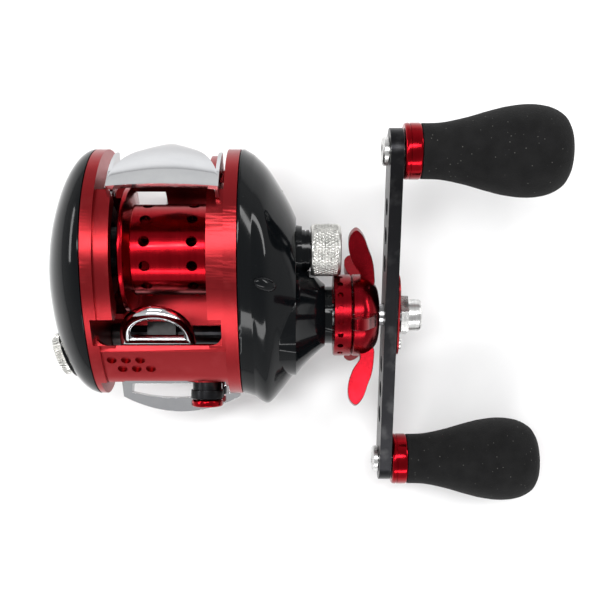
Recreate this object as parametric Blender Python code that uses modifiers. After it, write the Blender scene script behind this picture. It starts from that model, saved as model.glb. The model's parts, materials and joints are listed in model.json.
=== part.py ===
"""Low-profile baitcasting reel for a rod's reel seat, right-hand crank.

+X points to the crank, +Y to the angler and +Z away from the rod.  The origin is the middle of the
reel foot's underside.  Lengths are in millimetres and become metres as meshes are made.
"""
import math

import bmesh
import bpy
from mathutils import Matrix, Vector

MM = 0.001
GAP = 0.3                        # air kept between touching pieces

# Axes of the reel, as (Y, Z)
SPOOL_AXIS = (6.0, 26.0)
CRANK_AXIS = (SPOOL_AXIS[0] - 17.8, SPOOL_AXIS[1] - 5.0)

# Gears
GEAR_MODULE = 0.5
DRIVE_TEETH = 64
PINION_TEETH = 10
IDLE_TEETH = 23
WORM_TEETH = 17
WORM_DISTANCE = GEAR_MODULE * (IDLE_TEETH + WORM_TEETH) / 2
WORM_DIRECTION = math.radians(234.5)
WORM_AXIS = (CRANK_AXIS[0] + WORM_DISTANCE * math.cos(WORM_DIRECTION),
             CRANK_AXIS[1] + WORM_DISTANCE * math.sin(WORM_DIRECTION))
LINE_OF_CENTRES = math.atan2(CRANK_AXIS[1] - SPOOL_AXIS[1], CRANK_AXIS[0] - SPOOL_AXIS[0])

# Frame
PALM_PLATE_X = (-20.6, -13.7)
PALM_RING_X = -17.6              # inner face of the taller outer ring
HANDLE_PLATE_X = (10.7, 18.45)
HANDLE_RING_X = 15.1
SPOOL_OPENING = 17.5
RING_STEP = 1.3                  # how far the inner rings lie below the outer ones
WALL_X = (14.6, 16.6)            # web of the handle-side plate
WINDOW_X = (-19.2, 14.1)
FOOT_LENGTH = 62.0
FOOT_WIDTH = 14.5
FOOT_THICKNESS = 2.9

# Crank, knobs and star
CRANK_RADIUS = 45.9              # crank axis to knob axis
CRANK_TILT = math.radians(21.0)
CRANK_X = (57.5, 60.9)
CRANK_WIDTH = 12.0
KNOB_RADIUS = 12.05
STAR_ANGLES = [math.radians(23.0 + 72.0 * turn) for turn in range(5)]

# Side outline of the frame about the spool axis, from the top over the back to the front
SIDE_POINTS = [
    (0.0, 22.0), (11.5, 20.0), (20.8, 13.6), (26.2, 5.0), (27.8, -5.0), (25.6, -14.0),
    (18.5, -20.6), (8.0, -22.2), (-8.0, -22.6), (-22.0, -22.2), (-32.0, -20.4), (-38.0, -14.5),
    (-39.6, -6.5), (-37.0, 1.5), (-31.0, 8.6), (-22.0, 15.0), (-11.5, 20.0),
]
SIDE_CENTRE = (-5.6, -2.0)

# Covers and brake dial
PALM_DEPTH = 12.2
PALM_CENTRE = (-9.6, -2.0)       # the dome's crown, about the spool axis
PALM_FULLNESS = 1.9              # 2 would be an ellipse, 1 a cone
PALM_START = PALM_PLATE_X[0] - GAP
DIAL_PLACE = Vector((-31.0, -28.4, -6.0))                 # about the spool axis
DIAL_AXIS = Vector((-0.94, -0.34, 0.0)).normalized()
DIAL_RADIUS = 5.9
HANDLE_START = HANDLE_PLATE_X[1] + GAP
HANDLE_FACE = 33.3
COLLAR_END = 43.2
COVER_SCREW = (14.0, -8.0)       # about the spool axis

# Clutch and thumb bar, their angles and reaches about the spool axis
YOKE_POST_REACH = 8.5
LUG_ANGLE = math.radians(22.0)
LUG_REACH = 19.5
THUMB_FRONT = 15.0
THUMB_REACH = 13.4
THUMB_HALF_WIDTH = 14.0
THUMB_MIDDLE = 0.2

# Line guide and its tube
TUBE_RADIUS = 2.7
GUIDE_CENTRE = -4.6              # middle of the line guide at rest
GUIDE_FRONT = Vector((GUIDE_CENTRE, -25.2, -3.0))         # lower lip, about the spool axis
GUIDE_REAR = Vector((GUIDE_CENTRE, -15.6, 8.4))           # top of the arch

# Front button, hood holes and coil springs
BUTTON_X = 8.5
BUTTON_Z = -6.0                  # about the spool axis
BUTTON_RADIUS = 4.5
HOOD_HOLE_PITCH = 3.75
SPRING_STEPS = 9                 # points in each turn of a coil

X_AXIS_TURN = (0.0, math.radians(90.0), 0.0)                    # local Z becomes +X
SIDE_PLANE = (math.radians(90.0), 0.0, math.radians(90.0))      # local X, Y, Z become Y, Z, X


# ---------------------------------------------------------------- scene and materials

def clear_scene():
    for old in list(bpy.data.objects):
        bpy.data.objects.remove(old, do_unlink=True)


def new_collection(name):
    collection = bpy.data.collections.new(name)
    bpy.context.scene.collection.children.link(collection)
    return collection


def finish_material(name, colour, roughness, metallic):
    material = bpy.data.materials.new(name)
    material.use_nodes = True
    shader = material.node_tree.nodes["Principled BSDF"]
    shader.inputs["Base Color"].default_value = (*colour, 1.0)
    shader.inputs["Roughness"].default_value = roughness
    shader.inputs["Metallic"].default_value = metallic
    return material


clear_scene()
REEL = new_collection("baitcasting_reel")
CUTTERS = new_collection("cutters")

RED_SATIN = ("red_satin", (0.62, 0.035, 0.04), 0.38, 0.9)
RED_BRIGHT = ("red_bright", (0.72, 0.01, 0.02), 0.2, 0.95)
BLACK_GLOSS = ("black_gloss", (0.008, 0.01, 0.012), 0.12, 0.0)
BLACK_METAL = ("black_metal", (0.015, 0.015, 0.016), 0.35, 0.6)
BLACK_PLASTIC = ("black_plastic", (0.012, 0.012, 0.012), 0.4, 0.0)
CHROME = ("chrome", (0.85, 0.86, 0.88), 0.06, 1.0)
SILVER = ("silver", (0.62, 0.62, 0.6), 0.3, 1.0)
STEEL = ("steel", (0.5, 0.5, 0.5), 0.3, 1.0)
BRASS = ("brass", (0.6, 0.42, 0.13), 0.3, 1.0)
FOAM = ("foam", (0.02, 0.02, 0.02), 0.9, 0.0)
CARBON = ("carbon", (0.03, 0.03, 0.03), 0.7, 0.0)
MAGNET = ("magnet", (0.2, 0.2, 0.22), 0.4, 0.8)


def axis_empty(name, x, centre):
    empty = bpy.data.objects.new(name, None)
    empty.location = (x * MM, centre[0] * MM, centre[1] * MM)
    REEL.objects.link(empty)
    return empty


SPOOL_EMPTY = axis_empty("spool_axis", 0.0, SPOOL_AXIS)
CRANK_EMPTY = axis_empty("crank_axis", 0.0, CRANK_AXIS)
WORM_EMPTY = axis_empty("worm_axis", 0.0, WORM_AXIS)
FOOT_EMPTY = axis_empty("foot_centre", 0.0, (0.0, 0.0))


def crank_end(side):
    """Knob axis on the rear (+1) or front (-1) end of the crank, as (Y, Z)."""
    return (CRANK_AXIS[0] + side * CRANK_RADIUS * math.cos(CRANK_TILT),
            CRANK_AXIS[1] + side * CRANK_RADIUS * math.sin(CRANK_TILT))


KNOB_EMPTIES = {
    "rear": axis_empty("rear_knob_axis", 0.0, crank_end(1)),
    "front": axis_empty("front_knob_axis", 0.0, crank_end(-1)),
}


def add_piece(name, mesh, parent, finish, smooth_angle=35.0):
    """Make an object of a mesh, on a parent empty, with its own material."""
    piece = bpy.data.objects.new(name, mesh)
    piece.parent = parent
    REEL.objects.link(piece)
    if finish:
        mesh.materials.append(finish_material(name + "_" + finish[0], *finish[1:]))
        for polygon in mesh.polygons:
            polygon.use_smooth = True
        mesh.set_sharp_from_angle(angle=math.radians(smooth_angle))
    else:
        make_cutter(piece)
    return piece


def make_cutter(piece):
    REEL.objects.unlink(piece)
    CUTTERS.objects.link(piece)
    piece.hide_render = True
    piece.display_type = "WIRE"


def combine(target, other, operation):
    """Boolean modifier on target: DIFFERENCE or UNION with a helper object."""
    modifier = target.modifiers.new(operation.lower() + "_" + other.name, "BOOLEAN")
    modifier.operation = operation
    modifier.solver = "EXACT"
    modifier.object = other
    return target


def bevel_edges(piece, width, angle=50.0):
    modifier = piece.modifiers.new("edges", "BEVEL")
    modifier.width = width * MM
    modifier.segments = 1
    modifier.limit_method = "ANGLE"
    modifier.angle_limit = math.radians(angle)
    return piece


# ---------------------------------------------------------------- shape helpers

def polygon_area(points):
    total = 0.0
    for (x0, y0), (x1, y1) in zip(points, points[1:] + points[:1]):
        total += x0 * y1 - x1 * y0
    return total / 2


def turned(name, profile, parent, finish, segments=32):
    """Turn (x, radius) points about the X axis; ends that lie on the axis are closed there."""
    points = list(profile)
    if polygon_area([(radius, x) for x, radius in points]) > 0:
        points.reverse()
    on_axis = [index for index, point in enumerate(points) if point[1] == 0.0]
    if len(on_axis) == 2 and on_axis != [0, len(points) - 1]:
        points = points[on_axis[1]:] + points[:on_axis[1]]
    mesh = bpy.data.meshes.new(name)
    edges = [(index, index + 1) for index in range(len(points) - 1)]
    if not on_axis:
        edges.append((len(points) - 1, 0))
    mesh.from_pydata([(radius * MM, 0.0, x * MM) for x, radius in points], edges, [])
    piece = add_piece(name, mesh, parent, None)
    piece.rotation_euler = X_AXIS_TURN
    screw = piece.modifiers.new("turning", "SCREW")
    screw.axis = "Z"
    screw.steps = segments
    screw.render_steps = segments
    screw.use_merge_vertices = True
    screw.merge_threshold = 0.00001
    screw.use_smooth_shade = True
    if finish:
        piece.hide_render = False
        piece.display_type = "TEXTURED"
        CUTTERS.objects.unlink(piece)
        REEL.objects.link(piece)
        mesh.materials.append(finish_material(name + "_" + finish[0], *finish[1:]))
    return piece


def mesh_from_curve(curve_object):
    """Closed mesh of a curve object, with its loose caps welded; the curve is removed."""
    bpy.context.view_layer.update()
    graph = bpy.context.evaluated_depsgraph_get()
    mesh = bpy.data.meshes.new_from_object(curve_object.evaluated_get(graph))
    cage = bmesh.new()
    cage.from_mesh(mesh)
    bmesh.ops.remove_doubles(cage, verts=cage.verts, dist=0.000001)
    bmesh.ops.recalc_face_normals(cage, faces=cage.faces)
    cage.to_mesh(mesh)
    cage.free()
    bpy.data.objects.remove(curve_object, do_unlink=True)
    return mesh


def extruded(name, outlines, low, high, parent, finish, rotation=SIDE_PLANE):
    """Extrude closed (u, v) outlines, the first one solid and the others holes, from low to high."""
    curve = bpy.data.curves.new(name + "_outline", "CURVE")
    curve.dimensions = "2D"
    curve.fill_mode = "BOTH"
    curve.extrude = (high - low) / 2 * MM
    for outline in outlines:
        spline = curve.splines.new("POLY")
        spline.points.add(len(outline) - 1)
        for point, (u, v) in zip(spline.points, outline):
            point.co = (u * MM, v * MM, 0.0, 1.0)
        spline.use_cyclic_u = True
    outline_object = bpy.data.objects.new(name + "_outline", curve)
    REEL.objects.link(outline_object)
    mesh = mesh_from_curve(outline_object)
    mesh.transform(Matrix.Translation((0.0, 0.0, (low + high) / 2 * MM)))
    piece = add_piece(name, mesh, parent, finish)
    piece.rotation_euler = rotation
    return piece


def circle(radius, centre=(0.0, 0.0), count=32, phase=0.0):
    return [(centre[0] + radius * math.cos(phase + math.tau * step / count),
             centre[1] + radius * math.sin(phase + math.tau * step / count))
            for step in range(count)]


def arc(radius, start, end, steps):
    """Points along an arc about the origin, angles in degrees."""
    angles = [math.radians(start + (end - start) * step / steps) for step in range(steps + 1)]
    return [(radius * math.cos(angle), radius * math.sin(angle)) for angle in angles]


def sector(inner, outer, start, end, steps):
    """Outline of a ring's sector, angles in degrees."""
    return arc(outer, start, end, steps) + arc(inner, end, start, steps)


def stadium(half_length, radius, tilt=0.0, steps=8):
    """Bar with round ends about the origin, its length turned by tilt."""
    points = []
    for side in (1, -1):
        for step in range(steps + 1):
            angle = math.pi * step / steps - math.pi / 2 + (0.0 if side > 0 else math.pi)
            u = side * half_length + radius * math.cos(angle)
            v = radius * math.sin(angle)
            points.append((u * math.cos(tilt) - v * math.sin(tilt),
                           u * math.sin(tilt) + v * math.cos(tilt)))
    return points


def smooth_closed(points, per_span):
    """Closed Catmull-Rom curve through the points."""
    count = len(points)
    curve = []
    for index in range(count):
        p0, p1, p2, p3 = (points[(index + shift) % count] for shift in (-1, 0, 1, 2))
        for step in range(per_span):
            t = step / per_span
            curve.append(tuple(
                0.5 * (2 * b + (c - a) * t + (2 * a - 5 * b + 4 * c - d) * t ** 2
                       + (3 * b - a - 3 * c + d) * t ** 3)
                for a, b, c, d in zip(p0, p1, p2, p3)))
    return curve


def side_outline(scale=1.0, shift=0.0, drop=0.0, inset=0.0, centre=SIDE_CENTRE, per_span=2):
    """Side outline scaled about a centre, moved forward and down, and drawn in by inset."""
    height = max(z for _, z in SIDE_POINTS) - centre[1]
    reach = scale * (1 - inset / height)
    outline = []
    for y, z in smooth_closed(SIDE_POINTS, per_span):
        outline.append((centre[0] + (y - centre[0]) * reach - shift,
                        centre[1] + (z - centre[1]) * reach - drop))
    return outline


def lofted(name, sections, parent, finish, thickness):
    """Shell through (x, outline) sections, closed at the last one and open at the first."""
    cage = bmesh.new()
    rings = [[cage.verts.new((x * MM, y * MM, z * MM)) for y, z in outline]
             for x, outline in sections]
    for near, far in zip(rings, rings[1:]):
        for index in range(len(near)):
            after = (index + 1) % len(near)
            cage.faces.new((near[index], near[after], far[after], far[index]))
    cage.faces.new(rings[-1])
    bmesh.ops.recalc_face_normals(cage, faces=cage.faces)
    lid = cage.faces[:][-1]
    outward = 1.0 if sections[-1][0] > sections[0][0] else -1.0
    if lid.normal.x * outward < 0:
        bmesh.ops.reverse_faces(cage, faces=cage.faces)
    mesh = bpy.data.meshes.new(name)
    cage.to_mesh(mesh)
    cage.free()
    piece = add_piece(name, mesh, parent, finish)
    shell = piece.modifiers.new("wall", "SOLIDIFY")
    shell.thickness = thickness * MM
    shell.offset = -1.0
    return piece


def cylinder_between(name, start, end, radius, parent, finish, segments=16):
    """Round bar between two points, given in the parent's axes."""
    first = Vector(start) * MM
    last = Vector(end) * MM
    cage = bmesh.new()
    bmesh.ops.create_cone(cage, cap_ends=True, segments=segments, radius1=radius * MM,
                          radius2=radius * MM, depth=(last - first).length)
    mesh = bpy.data.meshes.new(name)
    cage.to_mesh(mesh)
    cage.free()
    piece = add_piece(name, mesh, parent, finish)
    piece.location = (first + last) / 2
    piece.rotation_euler = (last - first).to_track_quat("Z", "Y").to_euler()
    return piece


def block(name, low, high, parent, finish):
    """Box between two corners, given in the parent's axes."""
    cage = bmesh.new()
    bmesh.ops.create_cube(cage, size=1.0)
    size = [(b - a) * MM for a, b in zip(low, high)]
    bmesh.ops.scale(cage, vec=size, verts=cage.verts)
    mesh = bpy.data.meshes.new(name)
    cage.to_mesh(mesh)
    cage.free()
    piece = add_piece(name, mesh, parent, finish)
    piece.location = [(a + b) / 2 * MM for a, b in zip(low, high)]
    return piece


def radial_cutters(name, x, count, inner, outer, radius, parent, phase=0.0, segments=8):
    """One helper object of round bars that point away from the X axis."""
    cage = bmesh.new()
    for place in x:
        for index in range(count):
            angle = phase + math.tau * index / count
            middle = (inner + outer) / 2
            centre = Vector((place, middle * math.cos(angle), middle * math.sin(angle))) * MM
            aim = Vector((0.0, math.cos(angle), math.sin(angle)))
            matrix = Matrix.Translation(centre) @ aim.to_track_quat("Z", "X").to_matrix().to_4x4()
            bmesh.ops.create_cone(cage, cap_ends=True, segments=segments, radius1=radius * MM,
                                  radius2=radius * MM, depth=(outer - inner) * MM, matrix=matrix)
    mesh = bpy.data.meshes.new(name)
    cage.to_mesh(mesh)
    cage.free()
    return add_piece(name, mesh, parent, None)


def gear_outline(teeth, phase):
    """Spur gear with straight-sided teeth; one tooth's middle lies at the phase angle."""
    pitch_radius = GEAR_MODULE * teeth / 2
    tip_radius = pitch_radius + 0.35
    root_radius = pitch_radius - 0.55
    step = math.tau / teeth
    outline = []
    for tooth in range(teeth):
        middle = phase + tooth * step
        for share, radius in ((-0.5, root_radius), (-0.08, tip_radius), (0.08, tip_radius)):
            angle = middle + share * step
            outline.append((radius * math.cos(angle), radius * math.sin(angle)))
    return outline


def coil_spring(name, radius, wire, turns, start, end, centre, parent, finish, rotation):
    """Compression spring as one wire, along local Z from start to end."""
    curve = bpy.data.curves.new(name, "CURVE")
    curve.dimensions = "3D"
    curve.bevel_depth = wire / 2 * MM
    curve.bevel_resolution = 0
    curve.use_fill_caps = True
    steps = turns * SPRING_STEPS
    spline = curve.splines.new("POLY")
    spline.points.add(steps)
    for index, point in enumerate(spline.points):
        angle = math.tau * index / SPRING_STEPS
        along = start + (end - start) * index / steps
        point.co = (radius * math.cos(angle) * MM, radius * math.sin(angle) * MM, along * MM, 1.0)
    wire_object = bpy.data.objects.new(name + "_wire", curve)
    REEL.objects.link(wire_object)
    piece = add_piece(name, mesh_from_curve(wire_object), parent, finish)
    piece.location = Vector(centre) * MM
    piece.rotation_euler = rotation
    return piece


# ---------------------------------------------------------------- frame and foot

def plate_with_ring(name, plate_x, ring_x, ring_is_low):
    """Side plate: a full-height outer ring and a slightly lower inner one, as one helper pair."""
    low, high = plate_x
    outer_x = (low, ring_x) if ring_is_low else (ring_x, high)
    outer = extruded(name, [side_outline()], *outer_x, SPOOL_EMPTY,
                     RED_SATIN if ring_is_low else None)
    overlap = 0.2
    inner_x = (ring_x - overlap, high) if ring_is_low else (low, ring_x + overlap)
    inner = extruded(name + "_inner_ring", [side_outline(inset=RING_STEP)], *inner_x,
                     SPOOL_EMPTY, None)
    return outer, inner


def make_frame():
    frame, palm_inner = plate_with_ring("frame", PALM_PLATE_X, PALM_RING_X, True)
    handle_outer, handle_inner = plate_with_ring("handle_plate", HANDLE_PLATE_X, HANDLE_RING_X,
                                                 False)
    span = (PALM_RING_X - 0.7, HANDLE_RING_X + 0.7)
    hood = extruded("hood", [[(-25.6, 10.4), (-27.2, 10.9), (-34.2, 4.2), (-35.6, 1.6),
                              (-35.6, -2.4), (-33.7, -2.4), (-33.4, 2.0), (-26.2, 8.6)]],
                    *span, SPOOL_EMPTY, None)
    bridge = block("bridge", (span[0] - 0.3, -13.0, -22.4), (span[1] + 0.3, 11.0, -20.0),
                   SPOOL_EMPTY, None)
    apron = block("apron", (span[0] - 0.3, -31.0, -21.4), (span[1] + 0.3, -12.5, -19.6),
                  SPOOL_EMPTY, None)
    rear_wall = extruded("rear_wall", [sector(17.9, 20.3, -88.0, -8.0, 12)], span[0] + 0.2,
                         span[1] - 0.2, SPOOL_EMPTY, None)
    for piece in (palm_inner, handle_outer, handle_inner, hood, bridge, apron, rear_wall):
        combine(frame, piece, "UNION")

    cuts = [
        turned("palm_opening", [(-30.0, 0.0), (-30.0, SPOOL_OPENING), (-13.0, SPOOL_OPENING),
                                (-13.0, 0.0)], SPOOL_EMPTY, None, 36),
        turned("handle_opening", [(10.0, 0.0), (10.0, SPOOL_OPENING), (WALL_X[0], SPOOL_OPENING),
                                  (WALL_X[0], 0.0)], SPOOL_EMPTY, None, 36),
        turned("gear_side_opening", [(WALL_X[1], 0.0), (WALL_X[1], SPOOL_OPENING - 1.0),
                                     (25.0, SPOOL_OPENING - 1.0), (25.0, 0.0)],
               SPOOL_EMPTY, None, 36),
        turned("pinion_hole", [(10.0, 0.0), (10.0, 4.0), (25.0, 4.0), (25.0, 0.0)],
               SPOOL_EMPTY, None, 24),
        turned("shaft_seat", [(14.8, 0.0), (14.8, 4.8), (25.0, 4.8), (25.0, 0.0)],
               CRANK_EMPTY, None, 24),
        turned("worm_hole", [(-30.0, 0.0), (-30.0, 2.4), (25.0, 2.4), (25.0, 0.0)],
               WORM_EMPTY, None, 20),
        extruded("level_wind_window", [[(-45.0, -19.0), (-18.8, -19.0), (-18.8, 1.0),
                                        (-14.8, 2.0), (-14.8, 9.8), (-18.8, 11.5), (-18.8, 30.0),
                                        (-25.6, 30.0), (-25.6, 8.3), (-33.2, 1.4), (-33.6, -2.5),
                                        (-36.0, -2.5), (-36.0, 3.0), (-45.0, 3.0)]],
                 *WINDOW_X, SPOOL_EMPTY, None),
        extruded("palm_slot", [sector(17.0, 32.0, -30.0, 49.0, 12)], -17.6, -13.0,
                 SPOOL_EMPTY, None),
        extruded("handle_slot", [sector(18.2, 32.0, -30.0, 49.0, 12)], 12.6, 14.9,
                 SPOOL_EMPTY, None),
        extruded("lug_slot", [sector(18.3, 20.8, 1.0, 40.0, 8)], 12.7, 25.0, SPOOL_EMPTY, None),
        block("rear_wall_window", (-12.0, 5.5, -20.0), (-3.3, 22.0, -6.5), SPOOL_EMPTY, None),
        cylinder_between("cover_screw_thread", (14.8, 14.0, -8.0), (25.0, 14.0, -8.0), 1.3,
                         SPOOL_EMPTY, None, 12),
    ]
    for side in (-1, 1):
        cuts.append(cylinder_between("foot_screw_hole", (0.0, side * 7.0, 0.0),
                                     (0.0, side * 7.0, 10.0), 1.4, FOOT_EMPTY, None, 12))
    for cutter in cuts:
        combine(frame, cutter, "DIFFERENCE")

    add_button_housing(frame)
    add_yoke_posts(frame)
    for column, row in [(step, 0) for step in range(3)] + [(step + 0.65, 1) for step in range(3)]:
        drill_hood(frame, column, row)
    return frame


def add_button_housing(frame):
    """Round socket behind the front button, open at the front."""
    socket = cylinder_between("button_socket", (BUTTON_X, -36.2, BUTTON_Z),
                              (BUTTON_X, -30.5, BUTTON_Z), BUTTON_RADIUS + 1.2, SPOOL_EMPTY,
                              None, 24)
    combine(frame, socket, "UNION")
    bore = cylinder_between("button_bore", (BUTTON_X, -40.0, BUTTON_Z),
                            (BUTTON_X, -31.8, BUTTON_Z), BUTTON_RADIUS - 0.2, SPOOL_EMPTY,
                            None, 24)
    combine(frame, bore, "DIFFERENCE")


def yoke_post(side):
    """Place of a yoke post about the spool axis, square to the line of gear centres."""
    angle = LINE_OF_CENTRES + side * math.pi / 2
    return (YOKE_POST_REACH * math.cos(angle), YOKE_POST_REACH * math.sin(angle))


def add_yoke_posts(frame):
    for side in (-1, 1):
        y, z = yoke_post(side)
        post = cylinder_between("yoke_post", (WALL_X[1] - 0.5, y, z), (24.6, y, z), 1.0,
                                SPOOL_EMPTY, None, 12)
        combine(frame, post, "UNION")


def drill_hood(frame, column, row):
    """Blind round dimple in the sloping hood, square to its surface."""
    slope = Vector((0.0, -7.0, -6.7)).normalized()
    normal = Vector((0.0, -6.7, 7.0)).normalized()
    start = Vector((-15.2 + column * HOOD_HOLE_PITCH, -27.2, 10.9)) + slope * (3.2 + row * 3.4)
    dimple = cylinder_between("hood_dimple", start - normal * 0.9, start + normal * 3.0, 1.3,
                              SPOOL_EMPTY, None, 8)
    combine(frame, dimple, "DIFFERENCE")


def make_foot():
    """Reel foot: widest under the reel, with two thin tongues for the rod's seat."""
    half = FOOT_LENGTH / 2
    outline = smooth_closed([(0.0, half), (3.6, half - 1.0), (5.0, half - 6.0), (6.4, 13.0),
                             (FOOT_WIDTH / 2, 0.0), (6.4, -13.0), (5.0, -half + 6.0),
                             (3.6, -half + 1.0), (0.0, -half), (-3.6, -half + 1.0),
                             (-5.0, -half + 6.0), (-6.4, -13.0), (-FOOT_WIDTH / 2, 0.0),
                             (-6.4, 13.0), (-5.0, half - 6.0), (-3.6, half - 1.0)], 2)
    foot = extruded("reel_foot", [outline], 0.0, FOOT_THICKNESS, FOOT_EMPTY, SILVER,
                    (0.0, 0.0, 0.0))
    for side in (-1, 1):
        slope = extruded("tongue_slope", [[(15.0, FOOT_THICKNESS + 1.0), (15.0, 2.85),
                                           (half + 2.0, 1.7), (half + 2.0, 6.0)]],
                         -10.0, 10.0, FOOT_EMPTY, None,
                         (math.radians(90.0), 0.0, math.radians(90.0 * side)))
        combine(foot, slope, "DIFFERENCE")
        head = cylinder_between("foot_screw_seat", (0.0, side * 7.0, -1.0), (0.0, side * 7.0, 1.5),
                                2.3, FOOT_EMPTY, None, 16)
        shank = cylinder_between("foot_shank_hole", (0.0, side * 7.0, 0.0),
                                 (0.0, side * 7.0, 10.0), 1.4, FOOT_EMPTY, None, 12)
        combine(foot, head, "DIFFERENCE")
        combine(foot, shank, "DIFFERENCE")
    for label, side in (("front", -1), ("rear", 1)):
        screw = turned("foot_screw_" + label, [(0.2, 0.0), (0.2, 2.0), (1.2, 2.0), (1.2, 1.1),
                                               (5.2, 1.1), (5.2, 0.0)], FOOT_EMPTY, STEEL, 12)
        screw.location = (0.0, side * 7.0 * MM, 0.0)
        screw.rotation_euler = (0.0, 0.0, 0.0)


# ---------------------------------------------------------------- covers


def make_palm_cover():
    """Domed shell over the brake side, with a sunk seat for the brake dial."""
    sections = [(PALM_START, side_outline()), (PALM_START - 0.6, side_outline())]
    for share in (0.15, 0.3, 0.47, 0.64, 0.79, 0.92, 0.985):
        reach = (1 - share ** PALM_FULLNESS) ** (1 / PALM_FULLNESS)
        sections.append((PALM_START - share * PALM_DEPTH,
                         side_outline(scale=reach, centre=PALM_CENTRE)))
    cover = lofted("palm_cover", sections, SPOOL_EMPTY, BLACK_GLOSS, 1.4)
    boss = cylinder_between("dial_boss", DIAL_PLACE - DIAL_AXIS * 5.0, DIAL_PLACE - DIAL_AXIS * 1.0,
                            DIAL_RADIUS + 1.4, SPOOL_EMPTY, None, 24)
    pocket = cylinder_between("dial_pocket", DIAL_PLACE - DIAL_AXIS * 1.9,
                              DIAL_PLACE + DIAL_AXIS * 12.0, DIAL_RADIUS + 0.45, SPOOL_EMPTY,
                              None, 24)
    hole = cylinder_between("dial_hole", DIAL_PLACE - DIAL_AXIS * 9.0, DIAL_PLACE, 1.9,
                            SPOOL_EMPTY, None, 12)
    combine(cover, boss, "UNION")
    combine(cover, pocket, "DIFFERENCE")
    combine(cover, hole, "DIFFERENCE")


def make_brake():
    """Side plate with the palm-side spool bearing, sliding magnets and the dial that moves them."""
    turned("palm_side_plate", [(-20.4, 0.0), (-20.4, 17.1), (-18.9, 17.1), (-18.9, 6.4),
                               (-13.9, 6.4), (-13.9, 5.0), (-17.3, 5.0), (-17.3, 0.0)],
           SPOOL_EMPTY, BLACK_METAL, 30)
    turned("palm_spool_bearing", [(-17.0, 1.6), (-17.0, 4.7), (-14.3, 4.7), (-14.3, 1.6)],
           SPOOL_EMPTY, STEEL, 20)
    turned("magnet_ring", [(-18.5, 7.6), (-18.5, 12.2), (-16.6, 12.2), (-16.6, 7.6)],
           SPOOL_EMPTY, MAGNET, 28)
    count = 22
    knurled = []
    for step in range(count * 2):
        radius = DIAL_RADIUS if step % 2 else DIAL_RADIUS - 0.35
        angle = math.pi * step / count
        knurled.append((radius * math.cos(angle), radius * math.sin(angle)))
    dial = extruded("brake_dial", [knurled], -1.6, 1.6, SPOOL_EMPTY, SILVER)
    dial.location = DIAL_PLACE * MM
    dial.rotation_euler = DIAL_AXIS.to_track_quat("Z", "Y").to_euler()
    stem = cylinder_between("dial_stem", DIAL_PLACE - DIAL_AXIS * 6.0, DIAL_PLACE, 1.5,
                            SPOOL_EMPTY, None, 12)
    combine(dial, stem, "UNION")


def make_handle_cover():
    """Gear-side shell with the cone for the drive shaft and the collar for the tension cap."""
    sections = [(HANDLE_START, side_outline()),
                (HANDLE_START + 0.7, side_outline()),
                (22.0, side_outline(0.995, 1.2, 1.2)),
                (25.6, side_outline(0.97, 4.0, 1.8)),
                (29.2, side_outline(0.83, 5.0, 1.5)),
                (31.8, side_outline(0.71, 5.7, 1.2)),
                (HANDLE_FACE, side_outline(0.63, 6.4, 1.0))]
    cover = lofted("handle_cover", sections, SPOOL_EMPTY, BLACK_GLOSS, 1.4)
    cone = turned("shaft_cone", [(29.0, 0.0), (29.0, 16.9), (HANDLE_FACE, 16.7), (41.2, 8.5),
                                 (41.2, 7.9), (COLLAR_END, 7.9), (COLLAR_END, 0.0)],
                  CRANK_EMPTY, None, 30)
    collar = turned("tension_collar", [(30.5, 0.0), (30.5, 7.2), (34.9, 6.5), (34.9, 5.5),
                                       (37.0, 5.5), (37.0, 4.9), (42.0, 4.9), (42.0, 0.0)],
                    SPOOL_EMPTY, None, 20)
    cavity = turned("cone_cavity", [(26.5, 0.0), (26.5, 15.4), (32.6, 15.2), (34.4, 12.6),
                                    (35.5, 9.0), (35.5, 7.15), (42.4, 7.15), (42.4, 5.4),
                                    (50.0, 5.4), (50.0, 0.0)], CRANK_EMPTY, None, 26)
    bore = turned("tension_bore", [(28.0, 0.0), (28.0, 4.4), (40.9, 4.4), (40.9, 2.4),
                                   (50.0, 2.4), (50.0, 0.0)], SPOOL_EMPTY, None, 14)
    knob_clearance = turned("knob_clearance", [(36.9, 5.2), (36.9, 7.6), (50.0, 7.6),
                                               (50.0, 5.2)], SPOOL_EMPTY, None, 24)
    screw_boss = cylinder_between("cover_screw_boss", (19.2, *COVER_SCREW), (29.6, *COVER_SCREW),
                                  3.2, SPOOL_EMPTY, None, 16)
    screw_seat = cylinder_between("cover_screw_seat", (28.6, *COVER_SCREW), (40.0, *COVER_SCREW),
                                  2.3, SPOOL_EMPTY, None, 16)
    screw_hole = cylinder_between("cover_screw_hole", (10.0, *COVER_SCREW), (40.0, *COVER_SCREW),
                                  1.3, SPOOL_EMPTY, None, 12)
    for piece in (cone, collar, screw_boss):
        combine(cover, piece, "UNION")
    for piece in (cavity, bore, knob_clearance, screw_seat, screw_hole):
        combine(cover, piece, "DIFFERENCE")
    screw = turned("cover_screw", [(15.2, 0.0), (15.2, 1.0), (28.9, 1.0), (28.9, 2.0),
                                   (29.9, 2.0), (29.9, 0.0)], SPOOL_EMPTY, STEEL, 12)
    screw.location = Vector((0.0, *COVER_SCREW)) * MM


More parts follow.
